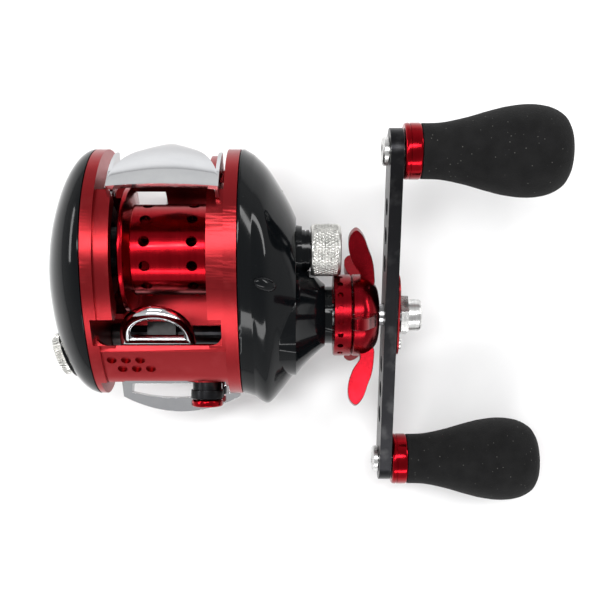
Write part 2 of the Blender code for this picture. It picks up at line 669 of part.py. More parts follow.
def make_front_bar():
    """Chrome loop across the nose: a thin straight rail and a thick bowed one."""
    steps = 12
    outer = [(13.6, -36.3), (13.8, -40.1), (17.3, -40.3), (17.3, -41.2)]
    inner = [(-13.4, -37.5), (-13.6, -40.0)]
    for step in range(1, steps):
        share = step / steps
        bow = 4.3 * 4 * share * (1 - share)
        outer.append((17.3 - 33.2 * share, -41.2 - bow))
    for step in range(1, steps):
        share = step / steps
        bow = 1.6 * 4 * share * (1 - share)
        inner.append((-13.6 + 25.8 * share, -40.0 - bow))
    outer += [(-15.9, -41.2), (-16.5, -36.3)]
    inner += [(12.2, -39.6), (12.2, -37.5)]
    bar = extruded("front_bar", [outer, inner], -15.0, -11.4, SPOOL_EMPTY, CHROME,
                   (0.0, 0.0, 0.0))
    bevel_edges(bar, 0.5)


# ---------------------------------------------------------------- spool, pinion and clutch

def make_spool():
    profile = [(-13.0, 1.55), (-13.0, 3.2), (-1.2, 3.2), (-1.2, 11.2), (-10.6, 11.2),
               (-12.4, 16.2), (-12.4, 17.0), (-11.1, 17.0), (-9.9, 12.4), (9.9, 12.4),
               (11.1, 17.0), (12.4, 17.0), (12.4, 16.2), (10.6, 11.2), (1.2, 11.2), (1.2, 3.2),
               (12.6, 3.2), (12.6, 1.55)]
    spool = turned("spool", profile, SPOOL_EMPTY, RED_BRIGHT, 30)
    combine(spool, radial_cutters("spool_holes", (-6.2, 6.2), 12, 10.0, 14.0, 1.45, SPOOL_EMPTY,
                                  math.radians(23.0), 6), "DIFFERENCE")
    shaft = turned("spool_shaft", [(-16.8, 0.0), (-16.8, 1.25), (17.5, 1.25), (17.5, 1.1),
                                   (42.6, 1.1), (42.6, 0.0)], SPOOL_EMPTY, STEEL, 16)
    pin = cylinder_between("drive_pin", (15.2, 0.0, -3.2), (15.2, 0.0, 3.2), 0.7, SPOOL_EMPTY,
                           None, 10)
    combine(shaft, pin, "UNION")


def make_pinion():
    """Sliding pinion: gear, groove for the yoke, and collar."""
    phase = LINE_OF_CENTRES
    pinion = extruded("pinion", [gear_outline(PINION_TEETH, phase)], 20.8, 28.6, SPOOL_EMPTY,
                      BRASS)
    sleeve = turned("pinion_sleeve", [(17.0, 0.0), (17.0, 3.2), (19.0, 3.2), (19.0, 2.1),
                                      (20.6, 2.1), (20.6, 3.2), (21.0, 3.2), (21.0, 0.0)],
                    SPOOL_EMPTY, None, 20)
    bore = turned("pinion_bore", [(10.0, 0.0), (10.0, 1.42), (40.0, 1.42), (40.0, 0.0)],
                  SPOOL_EMPTY, None, 16)
    combine(pinion, sleeve, "UNION")
    combine(pinion, bore, "DIFFERENCE")


def lug_place(x):
    return (x, LUG_REACH * math.cos(LUG_ANGLE), LUG_REACH * math.sin(LUG_ANGLE))


def make_clutch():
    """Yoke on two sprung posts, and the cam plate that the thumb bar turns."""
    post_line = math.atan2(yoke_post(1)[1], yoke_post(1)[0])
    posts = [circle(1.35, yoke_post(side), 10) for side in (-1, 1)]
    extruded("yoke", [stadium(YOKE_POST_REACH, 3.6, post_line), circle(2.5, count=16)] + posts,
             19.3, 20.3, SPOOL_EMPTY, BLACK_METAL)
    for label, side in (("upper", -1), ("lower", 1)):
        y, z = yoke_post(side)
        coil_spring("yoke_spring_" + label, 1.6, 0.4, 3, 20.8, 24.3, (0.0, y, z), SPOOL_EMPTY,
                    STEEL, X_AXIS_TURN)
    cam = turned("clutch_cam", [(17.0, 3.6), (17.0, 6.9), (18.5, 6.9), (18.5, 3.6)], SPOOL_EMPTY,
                 STEEL, 28)
    tab = extruded("cam_tab", [[(17.2, 5.2), (17.2, 9.5), (18.8, 9.5), (18.8, LUG_REACH + 1.9),
                                (20.0, LUG_REACH + 1.9), (20.0, 5.2)]], -1.6, 1.6, SPOOL_EMPTY,
                   None, (LUG_ANGLE, 0.0, 0.0))
    combine(cam, tab, "UNION")
    hole = cylinder_between("cam_lug_hole", lug_place(15.0), lug_place(25.0), 1.15, SPOOL_EMPTY,
                            None, 12)
    combine(cam, hole, "DIFFERENCE")


def make_thumb_bar():
    """Domed chrome thumb rest, with an arm down into each side's slot and a lug to the cam."""
    rows = 9
    columns = 12
    cage = bmesh.new()
    grid = []
    for row in range(rows):
        share = math.sin(row / (rows - 1) * math.radians(86.0))
        y = THUMB_FRONT + THUMB_REACH * share
        half_width = THUMB_HALF_WIDTH * math.sqrt(1 - share ** 2)
        line = []
        for column in range(columns + 1):
            across = 2 * column / columns - 1
            drop = 1.0 * across ** 2
            radius = 28.6 - drop
            angle = math.acos(min(1.0, y / 28.6)) if y < 28.6 else 0.0
            line.append(cage.verts.new(((THUMB_MIDDLE + across * half_width) * MM,
                                        radius * math.cos(angle) * MM,
                                        radius * math.sin(angle) * MM)))
        grid.append(line)
    for near, far in zip(grid, grid[1:]):
        for column in range(columns):
            cage.faces.new((near[column], near[column + 1], far[column + 1], far[column]))
    bmesh.ops.recalc_face_normals(cage, faces=cage.faces)
    if sum((face.normal.z for face in cage.faces)) < 0:
        bmesh.ops.reverse_faces(cage, faces=cage.faces)
    mesh = bpy.data.meshes.new("thumb_bar")
    cage.to_mesh(mesh)
    cage.free()
    bar = add_piece("thumb_bar", mesh, SPOOL_EMPTY, CHROME)
    wall = bar.modifiers.new("wall", "SOLIDIFY")
    wall.thickness = 1.4 * MM
    wall.offset = -1.0
    upper_edge = arc(26.6, 18.0, 46.0, 5)
    tip_edge = arc(26.4, 50.0, 57.0, 2)
    tip_underside = arc(22.2, 57.0, 46.0, 1)
    lower_edge = arc(18.6, 46.0, 18.0, 5)
    arm_outline = upper_edge + tip_edge + tip_underside + lower_edge
    for label, span in (("left", (-14.2, -13.1)), ("right", (13.0, 14.1))):
        arm = extruded("thumb_arm_" + label, [arm_outline], *span, SPOOL_EMPTY, None)
        combine(bar, arm, "UNION")
    lug = cylinder_between("thumb_lug", lug_place(13.6), lug_place(20.4), 0.8, SPOOL_EMPTY, None,
                           10)
    combine(bar, lug, "UNION")


# ---------------------------------------------------------------- drive train

def make_drive_train():
    turned("drive_shaft", [(15.0, 0.0), (15.0, 2.0), (17.9, 2.0), (17.9, 3.0),
                            (61.2, 3.0), (61.2, 2.5), (66.3, 2.5), (66.3, 0.0)],
           CRANK_EMPTY, STEEL, 20)
    turned("shaft_bearing", [(15.1, 2.3), (15.1, 4.5), (17.6, 4.5), (17.6, 2.3)], CRANK_EMPTY,
           STEEL, 20)
    phase = LINE_OF_CENTRES + math.pi + math.pi / DRIVE_TEETH
    gear = extruded("drive_gear", [gear_outline(DRIVE_TEETH, phase), circle(3.4, count=20)],
                    22.6, 25.6, CRANK_EMPTY, BRASS)
    recess = turned("drag_recess", [(23.8, 0.0), (23.8, 12.5), (30.0, 12.5), (30.0, 0.0)],
                    CRANK_EMPTY, None, 20)
    combine(gear, recess, "DIFFERENCE")
    turned("drag_washer", [(24.1, 3.5), (24.1, 12.1), (24.9, 12.1), (24.9, 3.5)], CRANK_EMPTY,
           CARBON, 28)
    turned("key_washer", [(25.2, 3.3), (25.2, 12.0), (26.2, 12.0), (26.2, 3.3)], CRANK_EMPTY,
           STEEL, 28)
    idle_phase = WORM_DIRECTION
    extruded("idle_gear", [gear_outline(IDLE_TEETH, idle_phase), circle(3.35, count=16)],
             18.9, 20.4, CRANK_EMPTY, BRASS)
    teeth = 12
    ratchet = []
    for tooth in range(teeth):
        start = math.tau * tooth / teeth
        ratchet.append((6.5 * math.cos(start), 6.5 * math.sin(start)))
        ratchet.append((5.2 * math.cos(start + 0.06), 5.2 * math.sin(start + 0.06)))
    extruded("ratchet_wheel", [ratchet, circle(3.35, count=16)], 20.8, 22.2, CRANK_EMPTY, STEEL)
    turned("one_way_bearing", [(35.8, 3.4), (35.8, 6.85), (42.1, 6.85), (42.1, 3.4)], CRANK_EMPTY,
           STEEL, 24)


def make_star():
    """Click ring, star wheel with five curved arms, and the nut that presses on the drag."""
    ring = turned("click_ring", [(43.5, 8.3), (43.5, 11.3), (48.4, 11.3), (48.4, 8.3)],
                  CRANK_EMPTY, RED_BRIGHT, 30)
    combine(ring, radial_cutters("click_holes", (45.3,), 19, 10.4, 13.0, 0.8, CRANK_EMPTY,
                                 math.radians(4.0), 4), "DIFFERENCE")
    star = turned("star_wheel", [(48.7, 7.8), (48.7, 11.3), (51.7, 11.3), (54.2, 10.1),
                                 (55.6, 8.2), (56.1, 5.6), (56.1, 3.4), (53.4, 3.4),
                                 (53.4, 7.8)], CRANK_EMPTY, RED_BRIGHT, 30)
    leaf = smooth_closed([(50.4, 9.4), (50.9, 12.2), (48.7, 15.8), (47.5, 19.8), (47.7, 23.4),
                          (49.5, 25.2), (51.5, 23.2), (52.8, 19.8), (54.0, 16.6), (54.6, 12.8),
                          (54.4, 9.4)], 1)
    for index, angle in enumerate(STAR_ANGLES):
        arm = extruded("star_arm_%d" % index, [leaf], -1.5, 1.5, CRANK_EMPTY, None,
                       (angle, 0.0, 0.0))
        bevel_edges(arm, 0.45, 60.0)
        combine(star, arm, "UNION")
    extruded("star_nut", [circle(7.3, count=6), circle(3.4, count=16)], 49.4, 52.9, CRANK_EMPTY,
             BRASS)


def make_crank():
    lightening = []
    for side in (-1, 1):
        for reach in (15.0, 23.0, 31.0):
            centre = (side * reach * math.cos(CRANK_TILT), side * reach * math.sin(CRANK_TILT))
            lightening.append(circle(2.4, centre, 10))
        end = crank_end(side)
        lightening.append(circle(2.7, (end[0] - CRANK_AXIS[0], end[1] - CRANK_AXIS[1]), 12))
    bar = stadium(CRANK_RADIUS, CRANK_WIDTH / 2, CRANK_TILT, 7)
    arm = extruded("crank_arm", [bar, circle(3.35, count=20)] + lightening, *CRANK_X,
                   CRANK_EMPTY, BLACK_METAL)
    extruded("nut_retainer", [stadium(7.0, 4.6, CRANK_TILT), circle(3.5, count=16),
                              circle(1.2, retainer_screw_place(), 10)],
             61.2, 61.8, CRANK_EMPTY, RED_SATIN)
    nut = extruded("handle_nut", [circle(5.77, count=6, phase=CRANK_TILT)], 62.1, 64.2,
                   CRANK_EMPTY, SILVER)
    cap = turned("nut_cap", [(63.5, 0.0), (63.5, 4.4), (67.3, 4.4), (68.0, 3.7), (68.0, 0.0)],
                 CRANK_EMPTY, None, 28)
    bore = turned("nut_bore", [(60.0, 0.0), (60.0, 2.8), (66.6, 2.8), (66.6, 0.0)], CRANK_EMPTY,
                  None, 16)
    combine(nut, cap, "UNION")
    combine(nut, bore, "DIFFERENCE")
    screw = turned("retainer_screw", [(59.0, 0.0), (59.0, 0.85), (62.1, 0.85), (62.1, 1.8),
                                      (62.9, 1.6), (62.9, 0.0)], CRANK_EMPTY, SILVER, 14)
    screw.location = Vector((0.0, *retainer_screw_place())) * MM
    screw_hole = cylinder_between("retainer_screw_hole", (58.6, *retainer_screw_place()),
                                  (62.0, *retainer_screw_place()), 1.2, CRANK_EMPTY, None, 10)
    combine(arm, screw_hole, "DIFFERENCE")


def retainer_screw_place():
    """Screw of the nut retainer, on the front half of the crank, about the crank axis."""
    reach = -8.6
    return (reach * math.cos(CRANK_TILT), reach * math.sin(CRANK_TILT))


def make_knob(label):
    """Foam knob with a metal ferrule and end cap, turning on a spindle through the crank."""
    parent = KNOB_EMPTIES[label]
    turned("knob_spindle_" + label, [(55.7, 0.0), (55.7, 3.2), (56.1, 3.8), (57.2, 3.8),
                                     (57.2, 2.35), (97.0, 2.35), (97.0, 0.0)], parent, SILVER, 16)
    turned("knob_ferrule_" + label, [(61.2, 2.7), (61.2, 6.9), (61.6, 7.35), (65.2, 7.35),
                                     (65.6, 7.0), (65.6, 2.7)], parent, RED_BRIGHT, 28)
    outer = [(65.9, 7.2), (71.0, 7.4), (77.0, 8.6), (83.0, 10.3), (88.0, 11.5),
             (93.5, KNOB_RADIUS), (98.5, 11.4), (102.0, 9.6), (103.9, 6.6)]
    turned("knob_grip_" + label, [(65.9, 2.7)] + outer + [(101.9, 6.1), (101.9, 4.0), (98.0, 4.0),
                                                          (98.0, 2.7)], parent, FOAM, 24)
    turned("knob_cap_" + label, [(102.2, 0.0), (102.2, 5.75), (103.5, 5.75), (104.3, 4.4),
                                 (104.6, 2.2), (104.6, 0.0)], parent, RED_BRIGHT, 24)


# ---------------------------------------------------------------- tension cap, level wind, button

def make_cast_control():
    turned("cast_control_knob", [(37.3, 5.2), (37.3, 6.7), (37.8, 7.15), (45.0, 7.15),
                                 (45.5, 6.6), (45.5, 0.0), (43.3, 0.0), (43.3, 5.2)],
           SPOOL_EMPTY, SILVER, 36)
    turned("handle_spool_bearing", [(38.0, 1.4), (38.0, 4.1), (40.6, 4.1), (40.6, 1.4)],
           SPOOL_EMPTY, STEEL, 18)


def make_level_wind():
    """Worm, its slotted tube, bushes, guide rod, and the carriage with the line guide."""
    turned("worm_shaft", [(-20.2, 0.0), (-20.2, 1.4), (-16.4, 1.4), (-16.4, 1.9), (12.1, 1.9),
                          (12.1, 1.4), (20.8, 1.4), (20.8, 0.0)], WORM_EMPTY, STEEL, 16)
    turned("worm_bush_palm", [(-20.4, 1.7), (-20.4, 2.1), (-18.9, 2.1), (-18.9, 3.3),
                              (-16.7, 3.3), (-16.7, 1.7)], WORM_EMPTY, BLACK_PLASTIC, 20)
    turned("worm_bush_handle", [(12.4, 1.7), (12.4, 3.3), (13.8, 3.3), (13.8, 2.1), (18.2, 2.1),
                                (18.2, 1.7)], WORM_EMPTY, BLACK_PLASTIC, 20)
    tube = turned("worm_tube", [(-16.4, 2.2), (-16.4, TUBE_RADIUS), (12.1, TUBE_RADIUS),
                                (12.1, 2.2)], WORM_EMPTY, BLACK_METAL, 20)
    slot = block("tube_slot", (-15.0, -1.1, -4.0), (10.7, 1.1, 0.0), WORM_EMPTY, None)
    combine(tube, slot, "DIFFERENCE")
    worm_phase = WORM_DIRECTION + math.pi + math.pi / WORM_TEETH
    extruded("worm_gear", [gear_outline(WORM_TEETH, worm_phase), circle(1.75, count=14)],
             18.9, 20.4, WORM_EMPTY, BRASS)
    carriage = block("line_carriage", (GUIDE_CENTRE - 4.0, -3.9, -5.2),
                     (GUIDE_CENTRE + 4.0, 3.9, 5.4), WORM_EMPTY, BLACK_PLASTIC)
    tunnel = cylinder_between("carriage_tunnel", (-30.0, 0.0, 0.0), (30.0, 0.0, 0.0),
                              TUBE_RADIUS + GAP, WORM_EMPTY, None, 20)
    pawl_hole = cylinder_between("pawl_hole", (GUIDE_CENTRE, 0.0, -9.0), (GUIDE_CENTRE, 0.0, 0.0),
                                 1.3, WORM_EMPTY, None, 12)
    combine(carriage, tunnel, "DIFFERENCE")
    combine(carriage, pawl_hole, "DIFFERENCE")
    cylinder_between("pawl", (GUIDE_CENTRE, 0.0, -5.2), (GUIDE_CENTRE, 0.0, -2.2), 0.95,
                     WORM_EMPTY, BRASS, 12)
    make_line_guide()


def guide_loop(half_width, low, high, lift, steps=20):
    """Half-oval loop in the guide's tilted plane; lift is measured square to that plane."""
    up = (GUIDE_REAR - GUIDE_FRONT).normalized()
    out = Vector((1.0, 0.0, 0.0)).cross(up)
    points = []
    for step in range(steps):
        angle = math.pi * step / (steps - 1)
        across = half_width * math.cos(angle)
        rise = low + (high - low) * math.sin(angle) ** 0.8 if 0 < step < steps - 1 else low
        points.append(GUIDE_FRONT + Vector((across, 0.0, 0.0)) + up * rise + out * lift)
    return points


def make_line_guide():
    """Wide half-oval ring, flared on both faces, that the line runs through."""
    height = (GUIDE_REAR - GUIDE_FRONT).length
    loops = [guide_loop(10.4, 0.0, height, 0.0), guide_loop(10.0, 0.3, height - 0.4, 1.0),
             guide_loop(8.8, 1.2, height - 2.2, 1.5), guide_loop(7.6, 2.1, height - 4.0, 0.9),
             guide_loop(7.2, 2.4, height - 4.6, 0.0), guide_loop(7.6, 2.1, height - 4.0, -0.8),
             guide_loop(8.8, 1.2, height - 2.2, -1.3), guide_loop(10.0, 0.3, height - 0.4, -0.9)]
    cage = bmesh.new()
    rings = [[cage.verts.new(point * MM) for point in loop] for loop in loops]
    for near, far in zip(rings, rings[1:] + rings[:1]):
        for index in range(len(near)):
            after = (index + 1) % len(near)
            cage.faces.new((near[index], near[after], far[after], far[index]))
    bmesh.ops.recalc_face_normals(cage, faces=cage.faces)
    mesh = bpy.data.meshes.new("line_guide")
    cage.to_mesh(mesh)
    cage.free()
    add_piece("line_guide", mesh, SPOOL_EMPTY, CHROME)


def make_button():
    """Sprung push button on the nose, moving along Y."""
    barrel = cylinder_between("button_barrel", (BUTTON_X, -41.0, BUTTON_Z),
                              (BUTTON_X, -38.6, BUTTON_Z), BUTTON_RADIUS, SPOOL_EMPTY,
                              BLACK_METAL, 28)
    neck = cylinder_between("button_neck", (BUTTON_X, -39.0, BUTTON_Z),
                            (BUTTON_X, -34.4, BUTTON_Z), BUTTON_RADIUS - 0.5, SPOOL_EMPTY,
                            None, 24)
    combine(barrel, neck, "UNION")
    cap = cylinder_between("button_cap", (BUTTON_X, -43.3, BUTTON_Z),
                           (BUTTON_X, -41.3, BUTTON_Z), BUTTON_RADIUS - 0.1, SPOOL_EMPTY,
                           RED_BRIGHT, 28)
    bevel_edges(cap, 0.5)
    coil_spring("button_spring", 2.4, 0.5, 3, 31.8 + 0.4, 34.4 - 0.6,
                (BUTTON_X, 0.0, BUTTON_Z), SPOOL_EMPTY, STEEL, (math.radians(90.0), 0.0, 0.0))


make_frame()
make_foot()
make_palm_cover()
make_brake()
make_handle_cover()
make_front_bar()
make_spool()
make_pinion()
make_clutch()
make_thumb_bar()
make_drive_train()
make_star()
make_crank()
for knob_label in KNOB_EMPTIES:
    make_knob(knob_label)
make_cast_control()
make_level_wind()
make_button()
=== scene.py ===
"""Looks of a low-profile baitcasting reel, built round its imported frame.

+X points to the crank, +Y to the angler and +Z away from the rod.  Lengths are in millimetres and
become metres as meshes are made.  Shapes about the spool are measured from the spool's axis.
"""
import json
import math

import bmesh
import bpy
from mathutils import Matrix, Vector
from mathutils.bvhtree import BVHTree


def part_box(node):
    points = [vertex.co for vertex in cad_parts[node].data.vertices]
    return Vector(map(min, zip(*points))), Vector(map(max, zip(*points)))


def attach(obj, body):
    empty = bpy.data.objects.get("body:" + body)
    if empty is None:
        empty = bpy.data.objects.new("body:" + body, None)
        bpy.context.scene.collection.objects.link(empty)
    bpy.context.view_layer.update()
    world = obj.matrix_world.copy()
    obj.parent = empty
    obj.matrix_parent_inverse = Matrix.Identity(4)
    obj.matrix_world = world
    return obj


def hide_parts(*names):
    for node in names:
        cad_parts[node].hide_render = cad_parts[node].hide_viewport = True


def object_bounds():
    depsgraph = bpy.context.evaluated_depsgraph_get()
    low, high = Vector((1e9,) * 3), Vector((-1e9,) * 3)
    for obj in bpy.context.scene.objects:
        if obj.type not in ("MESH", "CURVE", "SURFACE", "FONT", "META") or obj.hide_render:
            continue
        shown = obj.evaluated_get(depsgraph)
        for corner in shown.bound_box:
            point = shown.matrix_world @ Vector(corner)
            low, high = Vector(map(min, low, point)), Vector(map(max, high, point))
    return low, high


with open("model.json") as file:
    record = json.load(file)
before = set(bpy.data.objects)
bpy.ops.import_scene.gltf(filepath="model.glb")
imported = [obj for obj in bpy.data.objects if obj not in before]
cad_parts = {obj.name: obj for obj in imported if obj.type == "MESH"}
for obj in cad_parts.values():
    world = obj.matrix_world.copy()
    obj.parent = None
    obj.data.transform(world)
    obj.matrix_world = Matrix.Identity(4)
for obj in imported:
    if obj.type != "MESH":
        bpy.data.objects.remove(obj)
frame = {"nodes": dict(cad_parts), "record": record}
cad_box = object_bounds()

MM = 0.001


def middle(node):
    """Middle of a node's box, in millimetres."""
    low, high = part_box(node)
    return (low + high) / 2 / MM


def start_x(node):
    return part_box(node)[0].x / MM


def end_x(node):
    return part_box(node)[1].x / MM


def ends_x(node):
    return start_x(node), end_x(node)


# ---------------------------------------------------------------- places taken from the frame

SPOOL_AXIS = middle("spool").yz
CRANK_AXIS = middle("one_way_bearing").yz
WORM_AXIS = middle("worm_bush_palm").yz
KNOB_AXES = {"rear": middle("knob_grip_rear").yz, "front": middle("knob_grip_front").yz}
FOOT_AXIS = Vector((0.0, 0.0))
CRANK_LINE = KNOB_AXES["rear"] - CRANK_AXIS
CRANK_TILT = math.atan2(CRANK_LINE.y, CRANK_LINE.x)
CRANK_REACH = CRANK_LINE.length

COVER_GAP = 0.3                  # between the frame and the handle cover
PALM_FACE = start_x("frame")
HANDLE_FACE = start_x("handle_cover") - COVER_GAP
PALM_PLATE_X = (PALM_FACE, PALM_FACE + 6.9)
PALM_RING_X = PALM_FACE + 3.0     # where the outer ring steps down to the inner one
HANDLE_PLATE_X = (HANDLE_FACE - 7.75, HANDLE_FACE)
HANDLE_RING_X = HANDLE_FACE - 3.35
WALL_X = (HANDLE_FACE - 3.85, HANDLE_FACE - 1.85)
WINDOW_X = (PALM_FACE + 1.4, HANDLE_FACE - 4.35)

# ---------------------------------------------------------------- sizes

PAST_PALM, PAST_HANDLE = -30.0, 25.0    # X of cutters' ends, clear of the frame
SPOOL_OPENING = 17.5
RING_STEP = 1.3                  # how far the inner rings lie below the outer ones
COVER_WALL = 1.4
PALM_DEPTH = 12.2
PALM_CENTRE = (-9.6, -2.0)       # the dome's crown, about the spool axis
PALM_FULLNESS = 1.9              # 2 would be an ellipse, 1 a cone
DIAL_PLACE = Vector((-31.0, -28.4, -6.0))
DIAL_AXIS = Vector((-0.94, -0.34, 0.0)).normalized()
DIAL_RADIUS = 5.9
DIAL_RIBS = 44
RIB_DEPTH = 0.38
BUTTON_X = 8.5
BUTTON_Z = -6.0
BUTTON_RADIUS = 4.5
SOCKET_WALL = 1.2
HOOD_HOLE_PITCH = 3.75
HOOD_ROW_PITCH = 3.4
HOOD_HOLE_RADIUS = 1.3
DRUM_HOLE_RADIUS = 1.45
CRANK_HOLES = (15.0, 23.0, 31.0)
CRANK_HOLE_RADIUS = 2.4
COVER_SCREW = (14.0, -8.0)
PLATE_SCREW_REACH = 8.6
STAR_ARMS = 5
STAR_PHASE = 23.0                # degrees
STAR_ARM_THICKNESS = 3.0
ROUND = 96                       # segments of a large turned piece

SIDE_POINTS = [
    (0.0, 22.0), (11.5, 20.0), (20.8, 13.6), (26.2, 5.0), (27.8, -5.0), (25.6, -14.0),
    (18.5, -20.6), (8.0, -22.2), (-8.0, -22.6), (-22.0, -22.2), (-32.0, -20.4), (-38.0, -14.5),
    (-39.6, -6.5), (-37.0, 1.5), (-31.0, 8.6), (-22.0, 15.0), (-11.5, 20.0),
]
SIDE_CENTRE = (-5.6, -2.0)


# ---------------------------------------------------------------- materials

class Surface:
    """A material in the making, with a principled shader."""

    def __init__(self, name, roughness, metallic, coat=0.0, coat_roughness=0.03, specular=0.5):
        self.material = bpy.data.materials.new(name)
        self.material.use_nodes = True
        self.shader = self.material.node_tree.nodes["Principled BSDF"]
        self.set("Roughness", roughness)
        self.set("Metallic", metallic)
        self.set("Coat Weight", coat)
        self.set("Coat Roughness", coat_roughness)
        self.set("Specular IOR Level", specular)
        # Object coordinates are metres, and also the place on the reel at rest.
        self.place = self.add("ShaderNodeTexCoord").outputs["Object"]

    def set(self, socket, value):
        self.shader.inputs[socket].default_value = value

    def add(self, kind, values=None, **settings):
        made = self.material.node_tree.nodes.new(kind)
        for name, value in settings.items():
            setattr(made, name, value)
        for name, value in (values or {}).items():
            made.inputs[name].default_value = value
        return made

    def link(self, source, target):
        self.material.node_tree.links.new(source, target)

    def noise(self, scale, detail=3.0, roughness=0.5, vector=None):
        made = self.add("ShaderNodeTexNoise",
                        {"Scale": scale, "Detail": detail, "Roughness": roughness})
        self.link(vector or self.place, made.inputs["Vector"])
        return made.outputs["Fac"]

    def cells(self, scale):
        """Distance from the middle of the nearest cell."""
        made = self.add("ShaderNodeTexVoronoi", {"Scale": scale})
        self.link(self.place, made.inputs["Vector"])
        return made.outputs["Distance"]

    def work_out(self, operation, first, second=None):
        made = self.add("ShaderNodeMath", operation=operation)
        for socket, value in zip(made.inputs, (first, second)):
            if isinstance(value, (int, float)):
                socket.default_value = value
            elif value is not None:
                self.link(value, socket)
        return made.outputs[0]

    def about(self, axis):
        """Place along an X-wise axis and away from it: noise over it makes turning marks."""
        split = self.add("ShaderNodeSeparateXYZ")
        self.link(self.place, split.inputs[0])
        across = self.work_out("SUBTRACT", split.outputs["Y"], axis[0] * MM)
        above = self.work_out("SUBTRACT", split.outputs["Z"], axis[1] * MM)
        squares = self.work_out("ADD", self.work_out("MULTIPLY", across, across),
                                self.work_out("MULTIPLY", above, above))
        joined = self.add("ShaderNodeCombineXYZ")
        self.link(split.outputs["X"], joined.inputs["X"])
        self.link(self.work_out("SQRT", squares), joined.inputs["Y"])
        return joined.outputs[0]

    def ramp(self, factor, *stops):
        made = self.add("ShaderNodeValToRGB")
        elements = made.color_ramp.elements
        while len(elements) < len(stops):
            elements.new(0.5)
        for element, (position, colour) in zip(elements, stops):
            element.position = position
            element.color = (*colour, 1.0)
        self.link(factor, made.inputs["Fac"])
        return made.outputs["Color"]

    def spread(self, value, low, high, from_low=0.3, from_high=0.7):
        made = self.add("ShaderNodeMapRange", {"From Min": from_low, "From Max": from_high,
                                               "To Min": low, "To Max": high})
        self.link(value, made.inputs["Value"])
        return made.outputs["Result"]

    def mix(self, factor, colour, other):
        """A colour that gives way to a fixed one as the factor grows."""
        made = self.add("ShaderNodeMix", data_type="RGBA")
        self.link(factor, made.inputs["Factor"])
        self.link(colour, made.inputs["A"])
        made.inputs["B"].default_value = (*other, 1.0)
        return made.outputs["Result"]

    def colour(self, source):
        self.link(source, self.shader.inputs["Base Color"])

    def roughen(self, pattern, low, high, from_low=0.3, from_high=0.7):
        self.link(self.spread(pattern, low, high, from_low, from_high),
                  self.shader.inputs["Roughness"])

    def bump(self, height, strength, depth):
        made = self.add("ShaderNodeBump", {"Strength": strength, "Distance": depth * MM})
        self.link(height, made.inputs["Height"])
        self.link(made.outputs["Normal"], self.shader.inputs["Normal"])


def blasted_anodising(name, dark, light, bare, roughness):
    """Satin dyed aluminium with a fine blasted grain, rubbed paler in patches."""
    metal = Surface(name, roughness, 1.0)
    tone = metal.ramp(metal.noise(60.0), (0.25, dark), (0.8, light))
    rubbed = metal.spread(metal.noise(210.0, 6.0), 0.0, 0.12, 0.55, 0.8)
    metal.colour(metal.mix(rubbed, tone, bare))
    metal.roughen(metal.noise(420.0, 4.0), roughness - 0.01, roughness + 0.015)
    metal.bump(metal.noise(6500.0, 2.0), 0.35, 0.02)
    return metal.material


def red_turned(name, axis, roughness, dark=(0.24, 0.003, 0.007), light=(0.29, 0.005, 0.01)):
    """Bright red aluminium with turning marks about an axis, rubbed paler on its edges."""
    metal = Surface(name, roughness, 1.0)
    metal.set("Anisotropic", 0.25)
    lathe = metal.about(axis)
    tone = metal.ramp(metal.noise(900.0, 4.0, vector=lathe), (0.3, dark), (0.72, light))
    sharpness = metal.add("ShaderNodeNewGeometry").outputs["Pointiness"]
    edge = metal.spread(sharpness, 0.0, 1.0, 0.58, 0.75)
    worn = metal.work_out("MULTIPLY", edge, metal.spread(metal.noise(260.0, 4.0), 0.0, 0.3))
    metal.colour(metal.mix(worn, tone, RED_BARE))
    metal.roughen(metal.noise(300.0, 5.0), roughness - 0.03, roughness + 0.05)
    metal.bump(metal.noise(5200.0, vector=lathe), 0.3, 0.012)
    return metal.material


def clouded(name, metallic, dark, light, roughness, tone, smudge, grain, axis=None):
    """Two tones in clouds, smudges and a fine grain, drawn round the axis if there is one.

    tone: scale and detail.  smudge: the same, and how far roughness goes down and up.
    grain: scale and detail, then the bump's strength and depth.
    """
    surface = Surface(name, roughness, metallic)
    vector = None if axis is None else surface.about(axis)
    surface.colour(surface.ramp(surface.noise(*tone, vector=vector), (0.3, dark), (0.7, light)))
    scale, detail, down, up = smudge
    surface.roughen(surface.noise(scale, detail), roughness - down, roughness + up)
    scale, detail, strength, depth = grain
    surface.bump(surface.noise(scale, detail, vector=vector), strength, depth)
    return surface.material


def chrome_plate(name):
    """Polished plating with faint waviness, finger marks and hairline scratches, and painted shade
    that darkens its colour towards its outline.
    """
    plate = Surface(name, 0.05, 1.0)
    marks = plate.noise(140.0, 8.0, 0.65)
    plating = plate.ramp(marks, (0.3, (0.76, 0.77, 0.79)), (0.7, (0.84, 0.85, 0.86)))
    # Painted shade: the colour goes dark where the surface turns away from the view, which draws
    # dark edge lines round the chrome.
    rim = plate.add("ShaderNodeLayerWeight", {"Blend": 0.32}).outputs["Facing"]
    plate.colour(plate.mix(rim, plating, (0.1, 0.1, 0.11)))
    plate.roughen(marks, 0.03, 0.11, 0.4, 0.75)
    stretch = plate.add("ShaderNodeMapping", {"Scale": (40.0, 900.0, 300.0)})
    plate.link(plate.place, stretch.inputs["Vector"])
    plate.bump(plate.noise(6.0, 6.0, vector=stretch.outputs[0]), 0.05, 0.02)
    return plate.material


